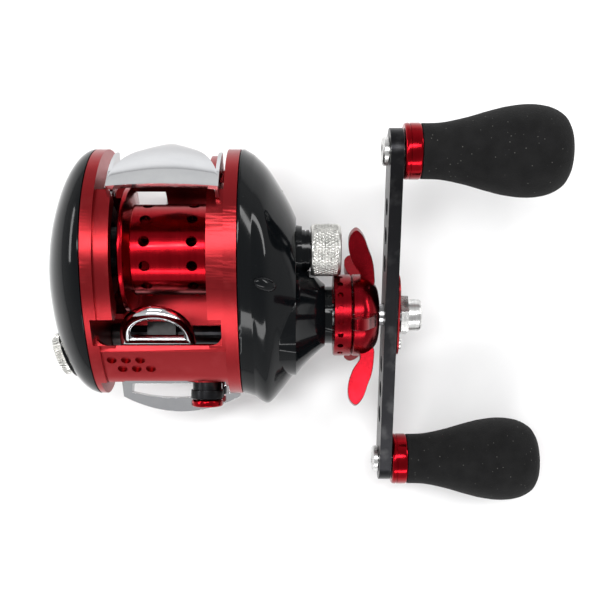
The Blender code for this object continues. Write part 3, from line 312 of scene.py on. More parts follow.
def black_lacquer(name):
    """Deep gloss paint over plastic, with fine flakes, dust and faint finger marks."""
    paint = Surface(name, 0.16, 0.0, coat=0.14, coat_roughness=0.02, specular=0.12)
    base = paint.ramp(paint.cells(5200.0), (0.0, (0.016, 0.021, 0.024)),
                      (0.16, (0.0028, 0.0036, 0.0044)), (1.0, (0.002, 0.0025, 0.003)))
    dust = paint.spread(paint.cells(330.0), 0.2, 0.0, 0.03, 0.05)
    paint.colour(paint.mix(dust, base, (0.06, 0.06, 0.058)))
    paint.roughen(paint.noise(210.0, 7.0, 0.6), 0.07, 0.17)
    paint.bump(paint.noise(700.0, 2.0), 0.03, 0.05)
    return paint.material


def foam_rubber(name):
    """Closed-cell foam, cut and sanded: open cells on its skin, and pale dust in a few of them."""
    rubber = Surface(name, 0.95, 0.0, specular=0.15)
    rubber.set("Sheen Weight", 0.03)
    rubber.set("Sheen Roughness", 0.6)
    body = rubber.ramp(rubber.noise(240.0, 6.0), (0.3, (0.0045, 0.0045, 0.0047)),
                       (0.7, (0.009, 0.009, 0.0092)))
    dust = rubber.spread(rubber.cells(620.0), 0.75, 0.0, 0.05, 0.11)
    rubber.colour(rubber.mix(dust, body, (0.11, 0.108, 0.1)))
    rubber.bump(rubber.work_out("ADD", rubber.cells(3000.0), rubber.noise(1500.0, 5.0)), 0.8, 0.06)
    return rubber.material


def woven_carbon(name):
    cloth = Surface(name, 0.5, 0.0)
    weave = cloth.add("ShaderNodeTexChecker", {"Scale": 900.0, "Color1": (0.02, 0.02, 0.022, 1.0),
                                               "Color2": (0.05, 0.05, 0.053, 1.0)})
    cloth.link(cloth.place, weave.inputs["Vector"])
    cloth.colour(weave.outputs["Color"])
    cloth.bump(weave.outputs["Fac"], 0.4, 0.03)
    return cloth.material


RED_BARE = (0.55, 0.1, 0.1)
CUT_GRAIN = 2500.0
CUT_METAL = ((500.0, 6.0), (CUT_GRAIN / 3, 5.0, 0.07, 0.1), (CUT_GRAIN, 3.0, 0.25, 0.012))
red_satin = blasted_anodising("red_satin_anodising", (0.27, 0.017, 0.021), (0.3, 0.02, 0.024),
                              RED_BARE, 0.3)
red_spool = red_turned("red_spool_anodising", SPOOL_AXIS, 0.2)
red_star = red_turned("red_star_anodising", CRANK_AXIS, 0.24, (0.17, 0.004, 0.008),
                      (0.21, 0.005, 0.01))
red_knob = {label: red_turned("red_%s_knob_anodising" % label, axis, 0.17)
            for label, axis in KNOB_AXES.items()}
red_button = red_turned("red_button_anodising", SPOOL_AXIS, 0.2)
black_gloss = black_lacquer("black_lacquer")
black_metal = blasted_anodising("black_anodising", (0.012, 0.012, 0.013), (0.022, 0.022, 0.024),
                                (0.3, 0.3, 0.3), 0.34)
black_plastic = clouded("black_plastic", 0.0, (0.006, 0.006, 0.006), (0.016, 0.016, 0.016), 0.38,
                        (300.0, 6.0), (800.0, 4.0, 0.08, 0.08), (3800.0, 3.0, 0.4, 0.02))
chrome = chrome_plate("chrome_plate")
silver = clouded("turned_silver", 1.0, (0.55, 0.55, 0.54), (0.8, 0.8, 0.79), 0.24, (1300.0, 4.0),
                 (350.0, 6.0, 0.06, 0.12), (4800.0, 2.0, 0.35, 0.015), CRANK_AXIS)
knurl_silver = clouded("knurled_silver", 1.0, (0.42, 0.42, 0.4), (0.7, 0.69, 0.66), 0.3, *CUT_METAL)
steel = clouded("ground_steel", 1.0, (0.38, 0.38, 0.39), (0.56, 0.56, 0.57), 0.28, *CUT_METAL)
foot_metal = blasted_anodising("foot_anodising", (0.5, 0.5, 0.5), (0.68, 0.68, 0.67),
                               (0.9, 0.9, 0.9), 0.36)
brass = clouded("cut_brass", 1.0, (0.5, 0.33, 0.1), (0.72, 0.52, 0.2), 0.3, *CUT_METAL)
magnet_plating = clouded("magnet_plating", 1.0, (0.2, 0.2, 0.21), (0.34, 0.34, 0.36), 0.35,
                         *CUT_METAL)
foam = foam_rubber("knob_foam")
carbon = woven_carbon("drag_carbon")


# ---------------------------------------------------------------- shape helpers

def object_of(name, data):
    made = bpy.data.objects.new(name, data)
    bpy.context.scene.collection.objects.link(made)
    return made


def finished(name, cage, face_up=False):
    """Object of a cage, its faces turned outward, or upward where it is an open sheet."""
    bmesh.ops.recalc_face_normals(cage, faces=cage.faces)
    if face_up and sum(face.normal.z for face in cage.faces) < 0:
        bmesh.ops.reverse_faces(cage, faces=cage.faces)
    mesh = bpy.data.meshes.new(name)
    cage.to_mesh(mesh)
    cage.free()
    return object_of(name, mesh)


def metres(x, y, z, axis):
    """A place from millimetres along an X-wise axis and measured from it."""
    return (x * MM, (axis[0] + y) * MM, (axis[1] + z) * MM)


def join_rings(cage, rings, closed=True, ends_meet=False):
    """Faces between each ring of points and the next; a ring of one point is a tip."""
    for near, far in zip(rings, rings[1:] + rings[:1] if ends_meet else rings[1:]):
        count = max(len(near), len(far))
        if count == 1:
            continue
        for index in range(count if closed else count - 1):
            after = (index + 1) % count
            if len(near) == 1:
                cage.faces.new((near[0], far[after], far[index]))
            elif len(far) == 1:
                cage.faces.new((near[index], near[after], far[0]))
            else:
                cage.faces.new((near[index], near[after], far[after], far[index]))


def curve_between(four, per_span):
    """Catmull-Rom curve between the middle two of four points, of any number of values each."""
    curve = []
    for step in range(per_span):
        t = step / per_span
        curve.append(tuple(
            0.5 * (2 * b + (c - a) * t + (2 * a - 5 * b + 4 * c - d) * t ** 2
                   + (3 * b - a - 3 * c + d) * t ** 3)
            for a, b, c, d in zip(*four)))
    return curve


def smooth_closed(points, per_span):
    curve = []
    for index in range(len(points)):
        four = [points[(index + shift) % len(points)] for shift in (-1, 0, 1, 2)]
        curve += curve_between(four, per_span)
    return curve


def smooth_open(points, per_span):
    padded = [points[0]] + list(points) + [points[-1]]
    curve = []
    for index in range(len(points) - 1):
        curve += curve_between(padded[index:index + 4], per_span)
    return curve + [tuple(points[-1])]


def circle(radius, centre=(0.0, 0.0), count=48, phase=0.0):
    return [(centre[0] + radius * math.cos(phase + math.tau * step / count),
             centre[1] + radius * math.sin(phase + math.tau * step / count))
            for step in range(count)]


def arc(radius, start, end, steps):
    """Points of an arc, angles in degrees."""
    angles = [math.radians(start + (end - start) * step / steps) for step in range(steps + 1)]
    return [(radius * math.cos(angle), radius * math.sin(angle)) for angle in angles]


def sector(inner, outer, start, end, steps=30):
    return arc(outer, start, end, steps) + arc(inner, end, start, steps)


def stadium(half_length, radius, tilt=0.0, steps=24):
    points = []
    for side in (1, -1):
        for step in range(steps + 1):
            angle = math.pi * step / steps - math.pi / 2 + (0.0 if side > 0 else math.pi)
            u = side * half_length + radius * math.cos(angle)
            v = radius * math.sin(angle)
            points.append((u * math.cos(tilt) - v * math.sin(tilt),
                           u * math.sin(tilt) + v * math.cos(tilt)))
    return points


def turned(name, profile, axis, segments=ROUND, start=0.0):
    """Closed (x, radius) profile, x from start, turned about an X-wise axis.

    A point on the axis closes an end.
    """
    cage = bmesh.new()
    rings = []
    for along, radius in profile:
        x = start + along
        if radius == 0.0:
            rings.append([cage.verts.new(metres(x, 0.0, 0.0, axis))])
            continue
        rings.append([cage.verts.new(metres(x, y, z, axis))
                      for y, z in circle(radius, count=segments)])
    join_rings(cage, rings, ends_meet=True)
    return finished(name, cage)


def bored(start, end, radius, axis):
    """Cutter for a round hole along X."""
    return turned("cut", [(start, 0.0), (start, radius), (end, radius), (end, 0.0)], axis)


def top_plane(axis):
    return Matrix.Translation(metres(0.0, 0.0, 0.0, axis))


def side_plane(axis):
    """Matrix that lays (u, v, w) along Y, Z and X, about an axis."""
    return top_plane(axis) @ Matrix(((0, 0, 1, 0), (1, 0, 0, 0), (0, 1, 0, 0), (0, 0, 0, 1)))


def evaluated_mesh(piece):
    bpy.context.view_layer.update()
    graph = bpy.context.evaluated_depsgraph_get()
    return bpy.data.meshes.new_from_object(piece.evaluated_get(graph))


def extruded(name, outlines, low, high, matrix):
    """Closed (u, v) outlines, the first solid and the others holes, extruded from low to high."""
    curve = bpy.data.curves.new(name + "_outline", "CURVE")
    curve.dimensions = "2D"
    curve.fill_mode = "BOTH"
    curve.extrude = (high - low) / 2 * MM
    for outline in outlines:
        spline = curve.splines.new("POLY")
        spline.points.add(len(outline) - 1)
        for point, (u, v) in zip(spline.points, outline):
            point.co = (u * MM, v * MM, 0.0, 1.0)
        spline.use_cyclic_u = True
    outline_object = object_of(name + "_outline", curve)
    mesh = evaluated_mesh(outline_object)
    bpy.data.objects.remove(outline_object, do_unlink=True)
    cage = bmesh.new()
    cage.from_mesh(mesh)
    bmesh.ops.remove_doubles(cage, verts=cage.verts, dist=0.000001)
    bmesh.ops.dissolve_limit(cage, angle_limit=0.001, verts=cage.verts, edges=cage.edges,
                             delimit={"NORMAL"})
    bmesh.ops.transform(cage, matrix=matrix @ Matrix.Translation((0, 0, (low + high) / 2 * MM)),
                        verts=cage.verts)
    return finished(name, cage)


def block(name, low, high, axis=SPOOL_AXIS):
    """Box between two corners, measured from an axis."""
    cage = bmesh.new()
    bmesh.ops.create_cube(cage, size=1.0)
    centre = Vector([(a + b) / 2 for a, b in zip(low, high)]) + Vector((0.0, axis[0], axis[1]))
    size = Vector([b - a for a, b in zip(low, high)])
    bmesh.ops.scale(cage, vec=size * MM, verts=cage.verts)
    bmesh.ops.translate(cage, vec=centre * MM, verts=cage.verts)
    return finished(name, cage)


def rod(name, start, end, radius, axis=SPOOL_AXIS, segments=48):
    """Round bar between two points, measured from an axis."""
    offset = Vector((0.0, axis[0], axis[1]))
    first = (Vector(start) + offset) * MM
    last = (Vector(end) + offset) * MM
    turn = (last - first).to_track_quat("Z", "Y").to_matrix().to_4x4()
    cage = bmesh.new()
    bmesh.ops.create_cone(cage, cap_ends=True, segments=segments, radius1=radius * MM,
                          radius2=radius * MM, depth=(last - first).length,
                          matrix=Matrix.Translation((first + last) / 2) @ turn)
    return finished(name, cage)


def lofted(name, sections, axis):
    """Solid through (x, outline) sections, closed at both ends."""
    cage = bmesh.new()
    rings = [[cage.verts.new(metres(x, y, z, axis)) for y, z in outline]
             for x, outline in sections]
    join_rings(cage, rings)
    cage.faces.new(rings[0])
    cage.faces.new(rings[-1])
    return finished(name, cage)


def settle(piece):
    """Put a piece's modifiers into its mesh."""
    mesh = evaluated_mesh(piece)
    piece.modifiers.clear()
    piece.data = mesh
    return piece


def combined(piece, added=(), removed=()):
    """Boolean union with the added pieces, then difference with the removed ones."""
    for operation, others in (("UNION", added), ("DIFFERENCE", removed)):
        for other in others:
            modifier = piece.modifiers.new(operation, "BOOLEAN")
            modifier.operation = operation
            modifier.solver = "EXACT"
            modifier.object = other
    settle(piece)
    for other in list(added) + list(removed):
        bpy.data.objects.remove(other, do_unlink=True)
    return piece


def gathered(name, pieces):
    """One object of several meshes, which may run into each other."""
    cage = bmesh.new()
    for piece in pieces:
        cage.from_mesh(settle(piece).data)
        bpy.data.objects.remove(piece, do_unlink=True)
    mesh = bpy.data.meshes.new(name)
    cage.to_mesh(mesh)
    cage.free()
    return object_of(name, mesh)


def merge_flats(piece):
    """Make one face of the flat neighbours that a cut has left in splinters."""
    modifier = piece.modifiers.new("flats", "DECIMATE")
    modifier.decimate_type = "DISSOLVE"
    modifier.angle_limit = math.radians(0.05)
    return settle(piece)


def soften(piece, width, segments=2, angle=32.0):
    """Round the edges."""
    modifier = piece.modifiers.new("edges", "BEVEL")
    modifier.width = width * MM
    modifier.segments = segments
    modifier.limit_method = "ANGLE"
    modifier.angle_limit = math.radians(angle)
    modifier.use_clamp_overlap = True
    modifier.harden_normals = False
    return settle(piece)


def shade(piece, angle=38.0):
    for polygon in piece.data.polygons:
        polygon.use_smooth = True
    piece.data.set_sharp_from_angle(angle=math.radians(angle))
    weighted = piece.modifiers.new("normals", "WEIGHTED_NORMAL")
    weighted.keep_sharp = True
    return piece


def dress(piece, material, body, slot, *nodes):
    """Give a piece its material and let it stand for its CAD nodes on their body."""
    piece.data.materials.clear()
    piece.data.materials.append(material)
    shade(piece)
    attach(piece, body)
    if nodes:
        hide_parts(*nodes)
    return piece


def side_outline(scale=1.0, shift=0.0, drop=0.0, inset=0.0, centre=SIDE_CENTRE, per_span=9):
    """Side outline scaled about its middle, moved forward and down, and drawn in by inset."""
    height = max(z for _, z in SIDE_POINTS) - SIDE_CENTRE[1]
    outline = []
    for y, z in smooth_closed(SIDE_POINTS, per_span):
        reach = scale * (1 - inset / height)
        outline.append((centre[0] + (y - centre[0]) * reach - shift,
                        centre[1] + (z - centre[1]) * reach - drop))
    return outline


SPOOL_SIDE = side_plane(SPOOL_AXIS)
CRANK_SIDE = side_plane(CRANK_AXIS)


# ---------------------------------------------------------------- frame and foot

def corner_fillet(side):
    """Hollow round in a front corner of the level-wind window, seen from above."""
    radius, front, below = 3.2, -25.6, -26.2
    corner_x = WINDOW_X[1] if side > 0 else WINDOW_X[0]
    outline = [(corner_x + side * 0.4, below), (corner_x + side * 0.4, front + radius)]
    steps = 12
    for step in range(steps + 1):
        angle = math.radians(90.0 * step / steps)
        outline.append((corner_x - side * radius * (1 - math.cos(angle)),
                        front + radius * (1 - math.sin(angle))))
    outline.append((corner_x - side * radius, below))
    return extruded("window_corner", [outline], 6.9, 10.35, top_plane(SPOOL_AXIS))


def button_rod(name, front, back, radius):
    """Round bar along the front button's axis."""
    return rod(name, (BUTTON_X, front, BUTTON_Z), (BUTTON_X, back, BUTTON_Z), radius, segments=64)


def hood_dimple(column, row):
    """Blind round dimple in the sloping hood, square to its surface."""
    slope = Vector((0.0, -7.0, -6.7)).normalized()
    normal = Vector((0.0, -6.7, 7.0)).normalized()
    corner = Vector((-15.2 + column * HOOD_HOLE_PITCH, -27.2, 10.9))
    start = corner + slope * (3.2 + row * HOOD_ROW_PITCH)
    return rod("hood_dimple", start - normal * 0.9, start + normal * 3.0, HOOD_HOLE_RADIUS,
               segments=32)


def make_frame():
    overlap = 0.2
    outer = side_outline(per_span=28)
    inner = side_outline(inset=RING_STEP, per_span=28)
    body = extruded("reel_frame", [outer], PALM_FACE, PALM_RING_X, SPOOL_SIDE)
    palm_inner = extruded("palm_inner", [inner], PALM_RING_X - overlap, PALM_PLATE_X[1],
                          SPOOL_SIDE)
    handle_outer = extruded("handle_outer", [outer], HANDLE_RING_X, HANDLE_FACE, SPOOL_SIDE)
    handle_inner = extruded("handle_inner", [inner], HANDLE_PLATE_X[0], HANDLE_RING_X + overlap,
                            SPOOL_SIDE)
    bite = 0.7                   # how far the bridges run into the rings
    span = (PALM_RING_X - bite, HANDLE_RING_X + bite)
    hood = extruded("hood", [[(-25.6, 10.4), (-27.2, 10.9), (-34.2, 4.2), (-35.6, 1.6),
                              (-35.6, -2.4), (-33.7, -2.4), (-33.4, 2.0), (-26.2, 8.6)]],
                    *span, SPOOL_SIDE)
    wide = (span[0] - 0.3, span[1] + 0.3)
    bridge = block("bridge", (wide[0], -13.0, -22.4), (wide[1], 11.0, -20.0))
    apron = block("apron", (wide[0], -31.0, -21.4), (wide[1], -12.5, -19.6))
    rear_wall = extruded("rear_wall", [sector(17.9, 20.3, -88.0, -8.0)], span[0] + 0.2,
                         span[1] - 0.2, SPOOL_SIDE)
    socket = rod("socket", (BUTTON_X, -36.2, BUTTON_Z), (BUTTON_X, -30.5, BUTTON_Z),
                 BUTTON_RADIUS + SOCKET_WALL)
    window = [(-45.0, -19.0), (-18.8, -19.0), (-18.8, 1.0), (-14.8, 2.0), (-14.8, 9.8),
              (-18.8, 11.5), (-18.8, 30.0), (-25.6, 30.0), (-25.6, 8.3), (-33.2, 1.4),
              (-33.6, -2.5), (-36.0, -2.5), (-36.0, 3.0), (-45.0, 3.0)]
    cuts = [
        bored(PAST_PALM, -13.0, SPOOL_OPENING, SPOOL_AXIS),
        bored(10.0, WALL_X[0], SPOOL_OPENING, SPOOL_AXIS),
        bored(WALL_X[1], PAST_HANDLE, SPOOL_OPENING - 1.0, SPOOL_AXIS),
        bored(10.0, PAST_HANDLE, 4.0, SPOOL_AXIS),
        bored(14.8, PAST_HANDLE, 4.8, CRANK_AXIS),
        bored(PAST_PALM, PAST_HANDLE, 2.4, WORM_AXIS),
        extruded("cut", [window], *WINDOW_X, SPOOL_SIDE),
        extruded("cut", [sector(17.0, 32.0, -30.0, 49.0)], PALM_RING_X, -13.0, SPOOL_SIDE),
        extruded("cut", [sector(18.2, 32.0, -30.0, 49.0)], 12.6, 14.9, SPOOL_SIDE),
        extruded("cut", [sector(18.3, 20.8, 1.0, 40.0)], 12.7, PAST_HANDLE, SPOOL_SIDE),
        block("cut", (-12.0, 5.5, -20.0), (-3.3, 22.0, -6.5)),
        rod("cut", (BUTTON_X, -40.0, BUTTON_Z), (BUTTON_X, -31.8, BUTTON_Z), BUTTON_RADIUS - 0.2),
    ]
    combined(body, [palm_inner, handle_outer, handle_inner, hood, bridge, apron, rear_wall], cuts)
    dimples = [hood_dimple(step, 0) for step in range(3)]
    dimples += [hood_dimple(step + 0.65, 1) for step in range(3)]
    combined(body, [socket, corner_fillet(1), corner_fillet(-1)], dimples)
    merge_flats(body)
    soften(body, 0.32, 3)
    dress(body, red_satin, "frame", "red_satin", "frame")
    body.data.set_sharp_from_angle(angle=math.radians(18.0))


def make_foot():
    low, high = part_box("reel_foot")
    half = (high.y - low.y) / 2 / MM
    width = (high.x - low.x) / 2 / MM
    thickness = high.z / MM
    right = [(3.6, half - 1.0), (5.0, half - 6.0), (6.4, 13.0), (width, 0.0), (6.4, -13.0),
             (5.0, -half + 6.0), (3.6, -half + 1.0)]
    left = [(-x, y) for x, y in reversed(right)]
    outline = smooth_closed([(0.0, half)] + right + [(0.0, -half)] + left, 8)
    foot = extruded("foot_plate", [outline], 0.0, thickness, top_plane(FOOT_AXIS))
    ramp = [(15.0, thickness + 1.0), (15.0, thickness - 0.05), (half + 2.0, 1.7),
            (half + 2.0, 6.0)]
    cuts = []
    for side in (-1, 1):
        upright = (Matrix.Rotation(math.radians(90.0 * side), 4, "Z")
                   @ Matrix.Rotation(math.radians(90.0), 4, "X"))
        cuts.append(extruded("cut", [ramp], -10.0, 10.0, upright))
        screw_y = side * 7.0
        cuts.append(rod("cut", (0.0, screw_y, -1.0), (0.0, screw_y, 1.5), 2.3, FOOT_AXIS))
        cuts.append(rod("cut", (0.0, screw_y, 0.0), (0.0, screw_y, 10.0), 1.4, FOOT_AXIS))
    combined(foot, [], cuts)
    soften(foot, 0.4, 3)
    dress(foot, foot_metal, "frame", "silver", "reel_foot")


# ---------------------------------------------------------------- covers

def make_palm_cover():
    """Domed shell over the brake side, with a sunk seat for the brake dial."""
    edge = end_x("palm_cover")
    sections = [(edge, side_outline()), (edge - 0.5, side_outline())]
    hollow = [(edge + 5.0, side_outline(inset=COVER_WALL)),
              (edge - 0.5, side_outline(inset=COVER_WALL))]
    steps = 28
    for step in range(2, steps + 1):
        share = math.sin(math.radians(80.0) * step / steps)
        reach = (1 - share ** PALM_FULLNESS) ** (1 / PALM_FULLNESS)
        sections.append((edge - share * PALM_DEPTH,
                         side_outline(scale=reach, centre=PALM_CENTRE)))
        hollow.append((edge - share * (PALM_DEPTH - COVER_WALL),
                       side_outline(scale=reach, inset=COVER_WALL, centre=PALM_CENTRE)))
    cover = lofted("palm_dome", sections, SPOOL_AXIS)
    combined(cover, [], [lofted("hollow", hollow, SPOOL_AXIS)])
    boss = rod("boss", DIAL_PLACE - DIAL_AXIS * 5.0, DIAL_PLACE - DIAL_AXIS * 1.0,
               DIAL_RADIUS + 1.4, segments=64)
    pocket = rod("pocket", DIAL_PLACE - DIAL_AXIS * 1.9, DIAL_PLACE + DIAL_AXIS * 12.0,
                 DIAL_RADIUS + 0.45, segments=64)
    combined(cover, [boss], [pocket])
    soften(cover, 0.25, 2, 40.0)
    dress(cover, black_gloss, "frame", "black_gloss", "palm_cover")


def make_dial():
    """Wheel with fine ribs round its rim."""
    outline = []
    for step in range(DIAL_RIBS * 4):
        radius = DIAL_RADIUS - (0.0 if step % 4 in (1, 2) else RIB_DEPTH)
        angle = math.tau * step / (DIAL_RIBS * 4)
        outline.append((radius * math.cos(angle), radius * math.sin(angle)))
    turn = (Matrix.Translation((DIAL_PLACE + Vector((0.0, *SPOOL_AXIS))) * MM)
            @ DIAL_AXIS.to_track_quat("Z", "Y").to_matrix().to_4x4())
    wheel = extruded("wheel", [outline], -1.6, 1.55, turn)
    soften(wheel, 0.18, 2)
    dress(wheel, knurl_silver, "brake_dial", "silver", "brake_dial").name = "dial_wheel"


def make_handle_cover():
    """Gear-side shell with the cone for the drive shaft and the collar for the tension cap."""
    start = start_x("handle_cover")
    end = 33.3
    shapes = smooth_open([(22.0, 0.995, 1.2, 1.2), (25.6, 0.97, 4.0, 1.8), (29.2, 0.83, 5.0, 1.5),
                          (31.8, 0.71, 5.7, 1.2), (end, 0.63, 6.4, 1.0)], 7)
    sections = [(start, side_outline()), (start + 0.7, side_outline())]
    sections += [(x, side_outline(scale, shift, drop)) for x, scale, shift, drop in shapes]
    hollow = [(start - 5.0, side_outline(inset=COVER_WALL))]
    hollow += [(min(x, end - COVER_WALL), side_outline(scale, shift, drop, COVER_WALL))
               for x, scale, shift, drop in shapes if x < end - COVER_WALL / 2]
    cover = lofted("gear_cover", sections, SPOOL_AXIS)
    combined(cover, [], [lofted("hollow", hollow, SPOOL_AXIS)])
    collar_end = end_x("handle_cover")
    cone = turned("cone", [(29.0, 0.0), (29.0, 16.9), (end, 16.7), (34.6, 14.9), (37.4, 11.9),
                           (40.2, 9.4), (41.2, 8.6), (41.2, 7.9), (collar_end, 7.9),
                           (collar_end, 0.0)], CRANK_AXIS)
    collar = turned("collar", [(30.5, 0.0), (30.5, 7.2), (34.9, 6.5), (34.9, 5.5), (35.7, 5.5),
                               (35.7, 5.2), (36.1, 5.2), (36.1, 5.5), (37.0, 5.5), (37.0, 4.9),
                               (42.0, 4.9), (42.0, 0.0)], SPOOL_AXIS, 64)
    cavity = turned("cavity", [(26.5, 0.0), (26.5, 15.4), (32.6, 15.2), (34.4, 12.6),
                               (35.5, 9.0), (35.5, 7.15), (42.4, 7.15), (42.4, 5.4),
                               (50.0, 5.4), (50.0, 0.0)], CRANK_AXIS)
    bore = turned("bore", [(28.0, 0.0), (28.0, 4.4), (40.9, 4.4), (40.9, 2.4), (50.0, 2.4),
                           (50.0, 0.0)], SPOOL_AXIS, 48)
    clearance = turned("clearance", [(36.9, 5.2), (36.9, 7.6), (50.0, 7.6), (50.0, 5.2)],
                       SPOOL_AXIS, 64)
    screw_boss = rod("boss", (19.2, *COVER_SCREW), (29.6, *COVER_SCREW), 3.2)
    screw_seat = rod("seat", (28.6, *COVER_SCREW), (40.0, *COVER_SCREW), 2.3)
    combined(cover, [cone, collar, screw_boss], [cavity, bore, clearance, screw_seat])
    soften(cover, 0.3, 2, 40.0)
    dress(cover, black_gloss, "frame", "black_gloss", "handle_cover")
    make_cover_blister(cover)


def make_cover_blister(cover):
    """Small smooth blister on the top of the gear cover."""
    tree = BVHTree.FromPolygons([vertex.co.copy() for vertex in cover.data.vertices],
                                [tuple(polygon.vertices) for polygon in cover.data.polygons])
    above = Vector((25.6, SPOOL_AXIS.x - 9.7, 120.0)) * MM
    point, normal, _, _ = tree.ray_cast(above, Vector((0.0, 0.0, -1.0)))
    if normal.z < 0:
        normal = -normal
    cage = bmesh.new()
    bmesh.ops.create_uvsphere(cage, u_segments=48, v_segments=24, radius=MM)
    bmesh.ops.scale(cage, vec=(3.3, 1.7, 1.2), verts=cage.verts)
    turn = normal.to_track_quat("Z", "Y").to_matrix().to_4x4()
    bmesh.ops.transform(cage, matrix=Matrix.Translation(point) @ turn
                        @ Matrix.Rotation(math.radians(90.0), 4, "Z"), verts=cage.verts)
    dress(finished("cover_blister", cage), black_gloss, "frame", "black_gloss")


def make_screw(name, node, axis, place, material, head, socket):
    """Screw head with a six-sided socket, its face at the far X end of its node."""
    end = end_x(node)
    centre = (axis[0] + place[0], axis[1] + place[1])
    start = start_x(node)
    piece = turned(name, [(start, 0.0), (start, head * 0.5), (end - 1.0, head * 0.5),
                          (end - 1.0, head), (end - 0.3, head), (end, head * 0.75), (end, 0.0)],
                   centre, 48)
    recess = extruded("cut", [circle(socket, count=6)], end - 0.6, end + 1.0, side_plane(centre))
    return dress(soften(combined(piece, [], [recess]), 0.06), material, *NODE_PLACE[node])


# ---------------------------------------------------------------- chrome parts

def make_front_bar():
    """Chrome loop across the nose: a thin straight rail and a thick bowed one."""
    steps = 48
    outer = [(13.6, -36.3), (13.8, -40.1), (17.3, -40.3), (17.3, -41.2)]
    inner = [(-13.4, -37.5), (-13.6, -40.0)]
    for step in range(1, steps):
        share = step / steps
        outer.append((17.3 - 33.2 * share, -41.2 - 17.2 * share * (1 - share)))
        inner.append((-13.6 + 25.8 * share, -40.0 - 6.4 * share * (1 - share)))
    outer += [(-15.9, -41.2), (-16.5, -36.3)]
    inner += [(12.2, -39.6), (12.2, -37.5)]
    bar = extruded("nose_loop", [outer, inner], -15.0, -11.4, top_plane(SPOOL_AXIS))
    soften(bar, 0.9, 5)
    dress(bar, chrome, "frame", "chrome", "front_bar")


def make_thumb_bar():
    """Domed thumb rest with an arm down each side."""
    rows, columns = 40, 56
    front, reach, half_width, centre_x, top = 15.0, 13.4, 14.0, 0.2, 28.6
    cage = bmesh.new()
    grid = []
    for row in range(rows):
        share = math.sin(row / (rows - 1) * math.radians(88.0))
        y = front + reach * share
        width = half_width * math.sqrt(1 - share ** 2)
        line = []
        for column in range(columns + 1):
            across = 2 * column / columns - 1
            radius = top - 1.0 * across ** 2
            angle = math.acos(min(1.0, y / top))
            line.append(cage.verts.new(metres(centre_x + across * width, radius * math.cos(angle),
                                              radius * math.sin(angle), SPOOL_AXIS)))
        grid.append(line)
    join_rings(cage, grid, closed=False)
    dome = finished("dome", cage, face_up=True)
    wall = dome.modifiers.new("wall", "SOLIDIFY")
    wall.thickness = 1.4 * MM
    wall.offset = -1.0
    settle(dome)
    soften(dome, 0.45, 4, 45.0)
    outline = arc(26.6, 18.0, 46.0, 14) + arc(26.4, 50.0, 57.0, 4) + arc(22.2, 57.0, 46.0, 4)
    outline += arc(18.6, 46.0, 18.0, 14)
    arms = []
    for span in ((-14.2, -13.1), (13.0, 14.1)):
        arm = extruded("arm", [outline], *span, SPOOL_SIDE)
        arms.append(soften(arm, 0.25, 2))
    bar = gathered("thumb_rest", [dome] + arms)
    dress(bar, chrome, "thumb_bar", "chrome", "thumb_bar")


GUIDE_X = middle("line_guide").x
GUIDE_FRONT = Vector((GUIDE_X, -25.2, -3.0))
GUIDE_REAR = Vector((GUIDE_X, -15.6, 8.4))


def guide_loop(half_width, low, high, lift, steps=64):
    """Half-oval loop in the guide's tilted plane; lift is measured square to that plane."""
    up = (GUIDE_REAR - GUIDE_FRONT).normalized()
    out = Vector((1.0, 0.0, 0.0)).cross(up)
    points = []
    for step in range(steps):
        angle = math.pi * step / (steps - 1)
        across = half_width * math.cos(angle)
        rise = low + (high - low) * max(0.0, math.sin(angle)) ** 0.8
        points.append(GUIDE_FRONT + Vector((across, 0.0, 0.0)) + up * rise + out * lift)
    return points


def make_line_guide():
    """Wide half-oval ring with a smoothly flared mouth on both faces."""
    height = (GUIDE_REAR - GUIDE_FRONT).length
    shape = smooth_closed([(10.4, 0.0, 0.0, 0.0), (10.0, 0.3, 0.4, 1.0), (8.8, 1.2, 2.2, 1.5),
                           (7.6, 2.1, 4.0, 0.9), (7.2, 2.4, 4.6, 0.0), (7.6, 2.1, 4.0, -0.8),
                           (8.8, 1.2, 2.2, -1.3), (10.0, 0.3, 0.4, -0.9)], 5)
    cage = bmesh.new()
    rings = []
    for half_width, low, below, lift in shape:
        loop = guide_loop(half_width, low, height - below, lift)
        rings.append([cage.verts.new((point + Vector((0.0, *SPOOL_AXIS))) * MM)
                      for point in loop])
    join_rings(cage, rings, ends_meet=True)
    dress(finished("guide_ring", cage), chrome, "carriage", "chrome", "line_guide")


def make_carriage():
    low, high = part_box("line_carriage")
    size = (high - low) / MM
    centre = middle("line_carriage")
    body = block("guide_carriage", -size / 2, size / 2, centre.yz)
    body.data.transform(Matrix.Translation((centre.x * MM, 0.0, 0.0)))
    tunnel = rod("cut", (-30.0, 0.0, 0.0), (30.0, 0.0, 0.0), 3.0, WORM_AXIS)
    pawl_hole = rod("cut", (GUIDE_X, 0.0, -9.0), (GUIDE_X, 0.0, 0.0), 1.3, WORM_AXIS)
    combined(body, [], [tunnel, pawl_hole])
    soften(body, 0.6, 3)
    dress(body, black_plastic, "carriage", "black_plastic", "line_carriage")


# ---------------------------------------------------------------- spool, star and crank

def round_holes(places, count, inner, outer, radius, axis, phase):
    """Bars that point away from an axis at each X place, to bore with."""
    holes = []
    for x in places:
        for index in range(count):
            angle = math.radians(phase) + math.tau * index / count
            aim = Vector((0.0, math.cos(angle), math.sin(angle)))
            foot = Vector((x, 0, 0))
            holes.append(rod("hole", foot + aim * inner, foot + aim * outer, radius, axis, 28))
    return holes


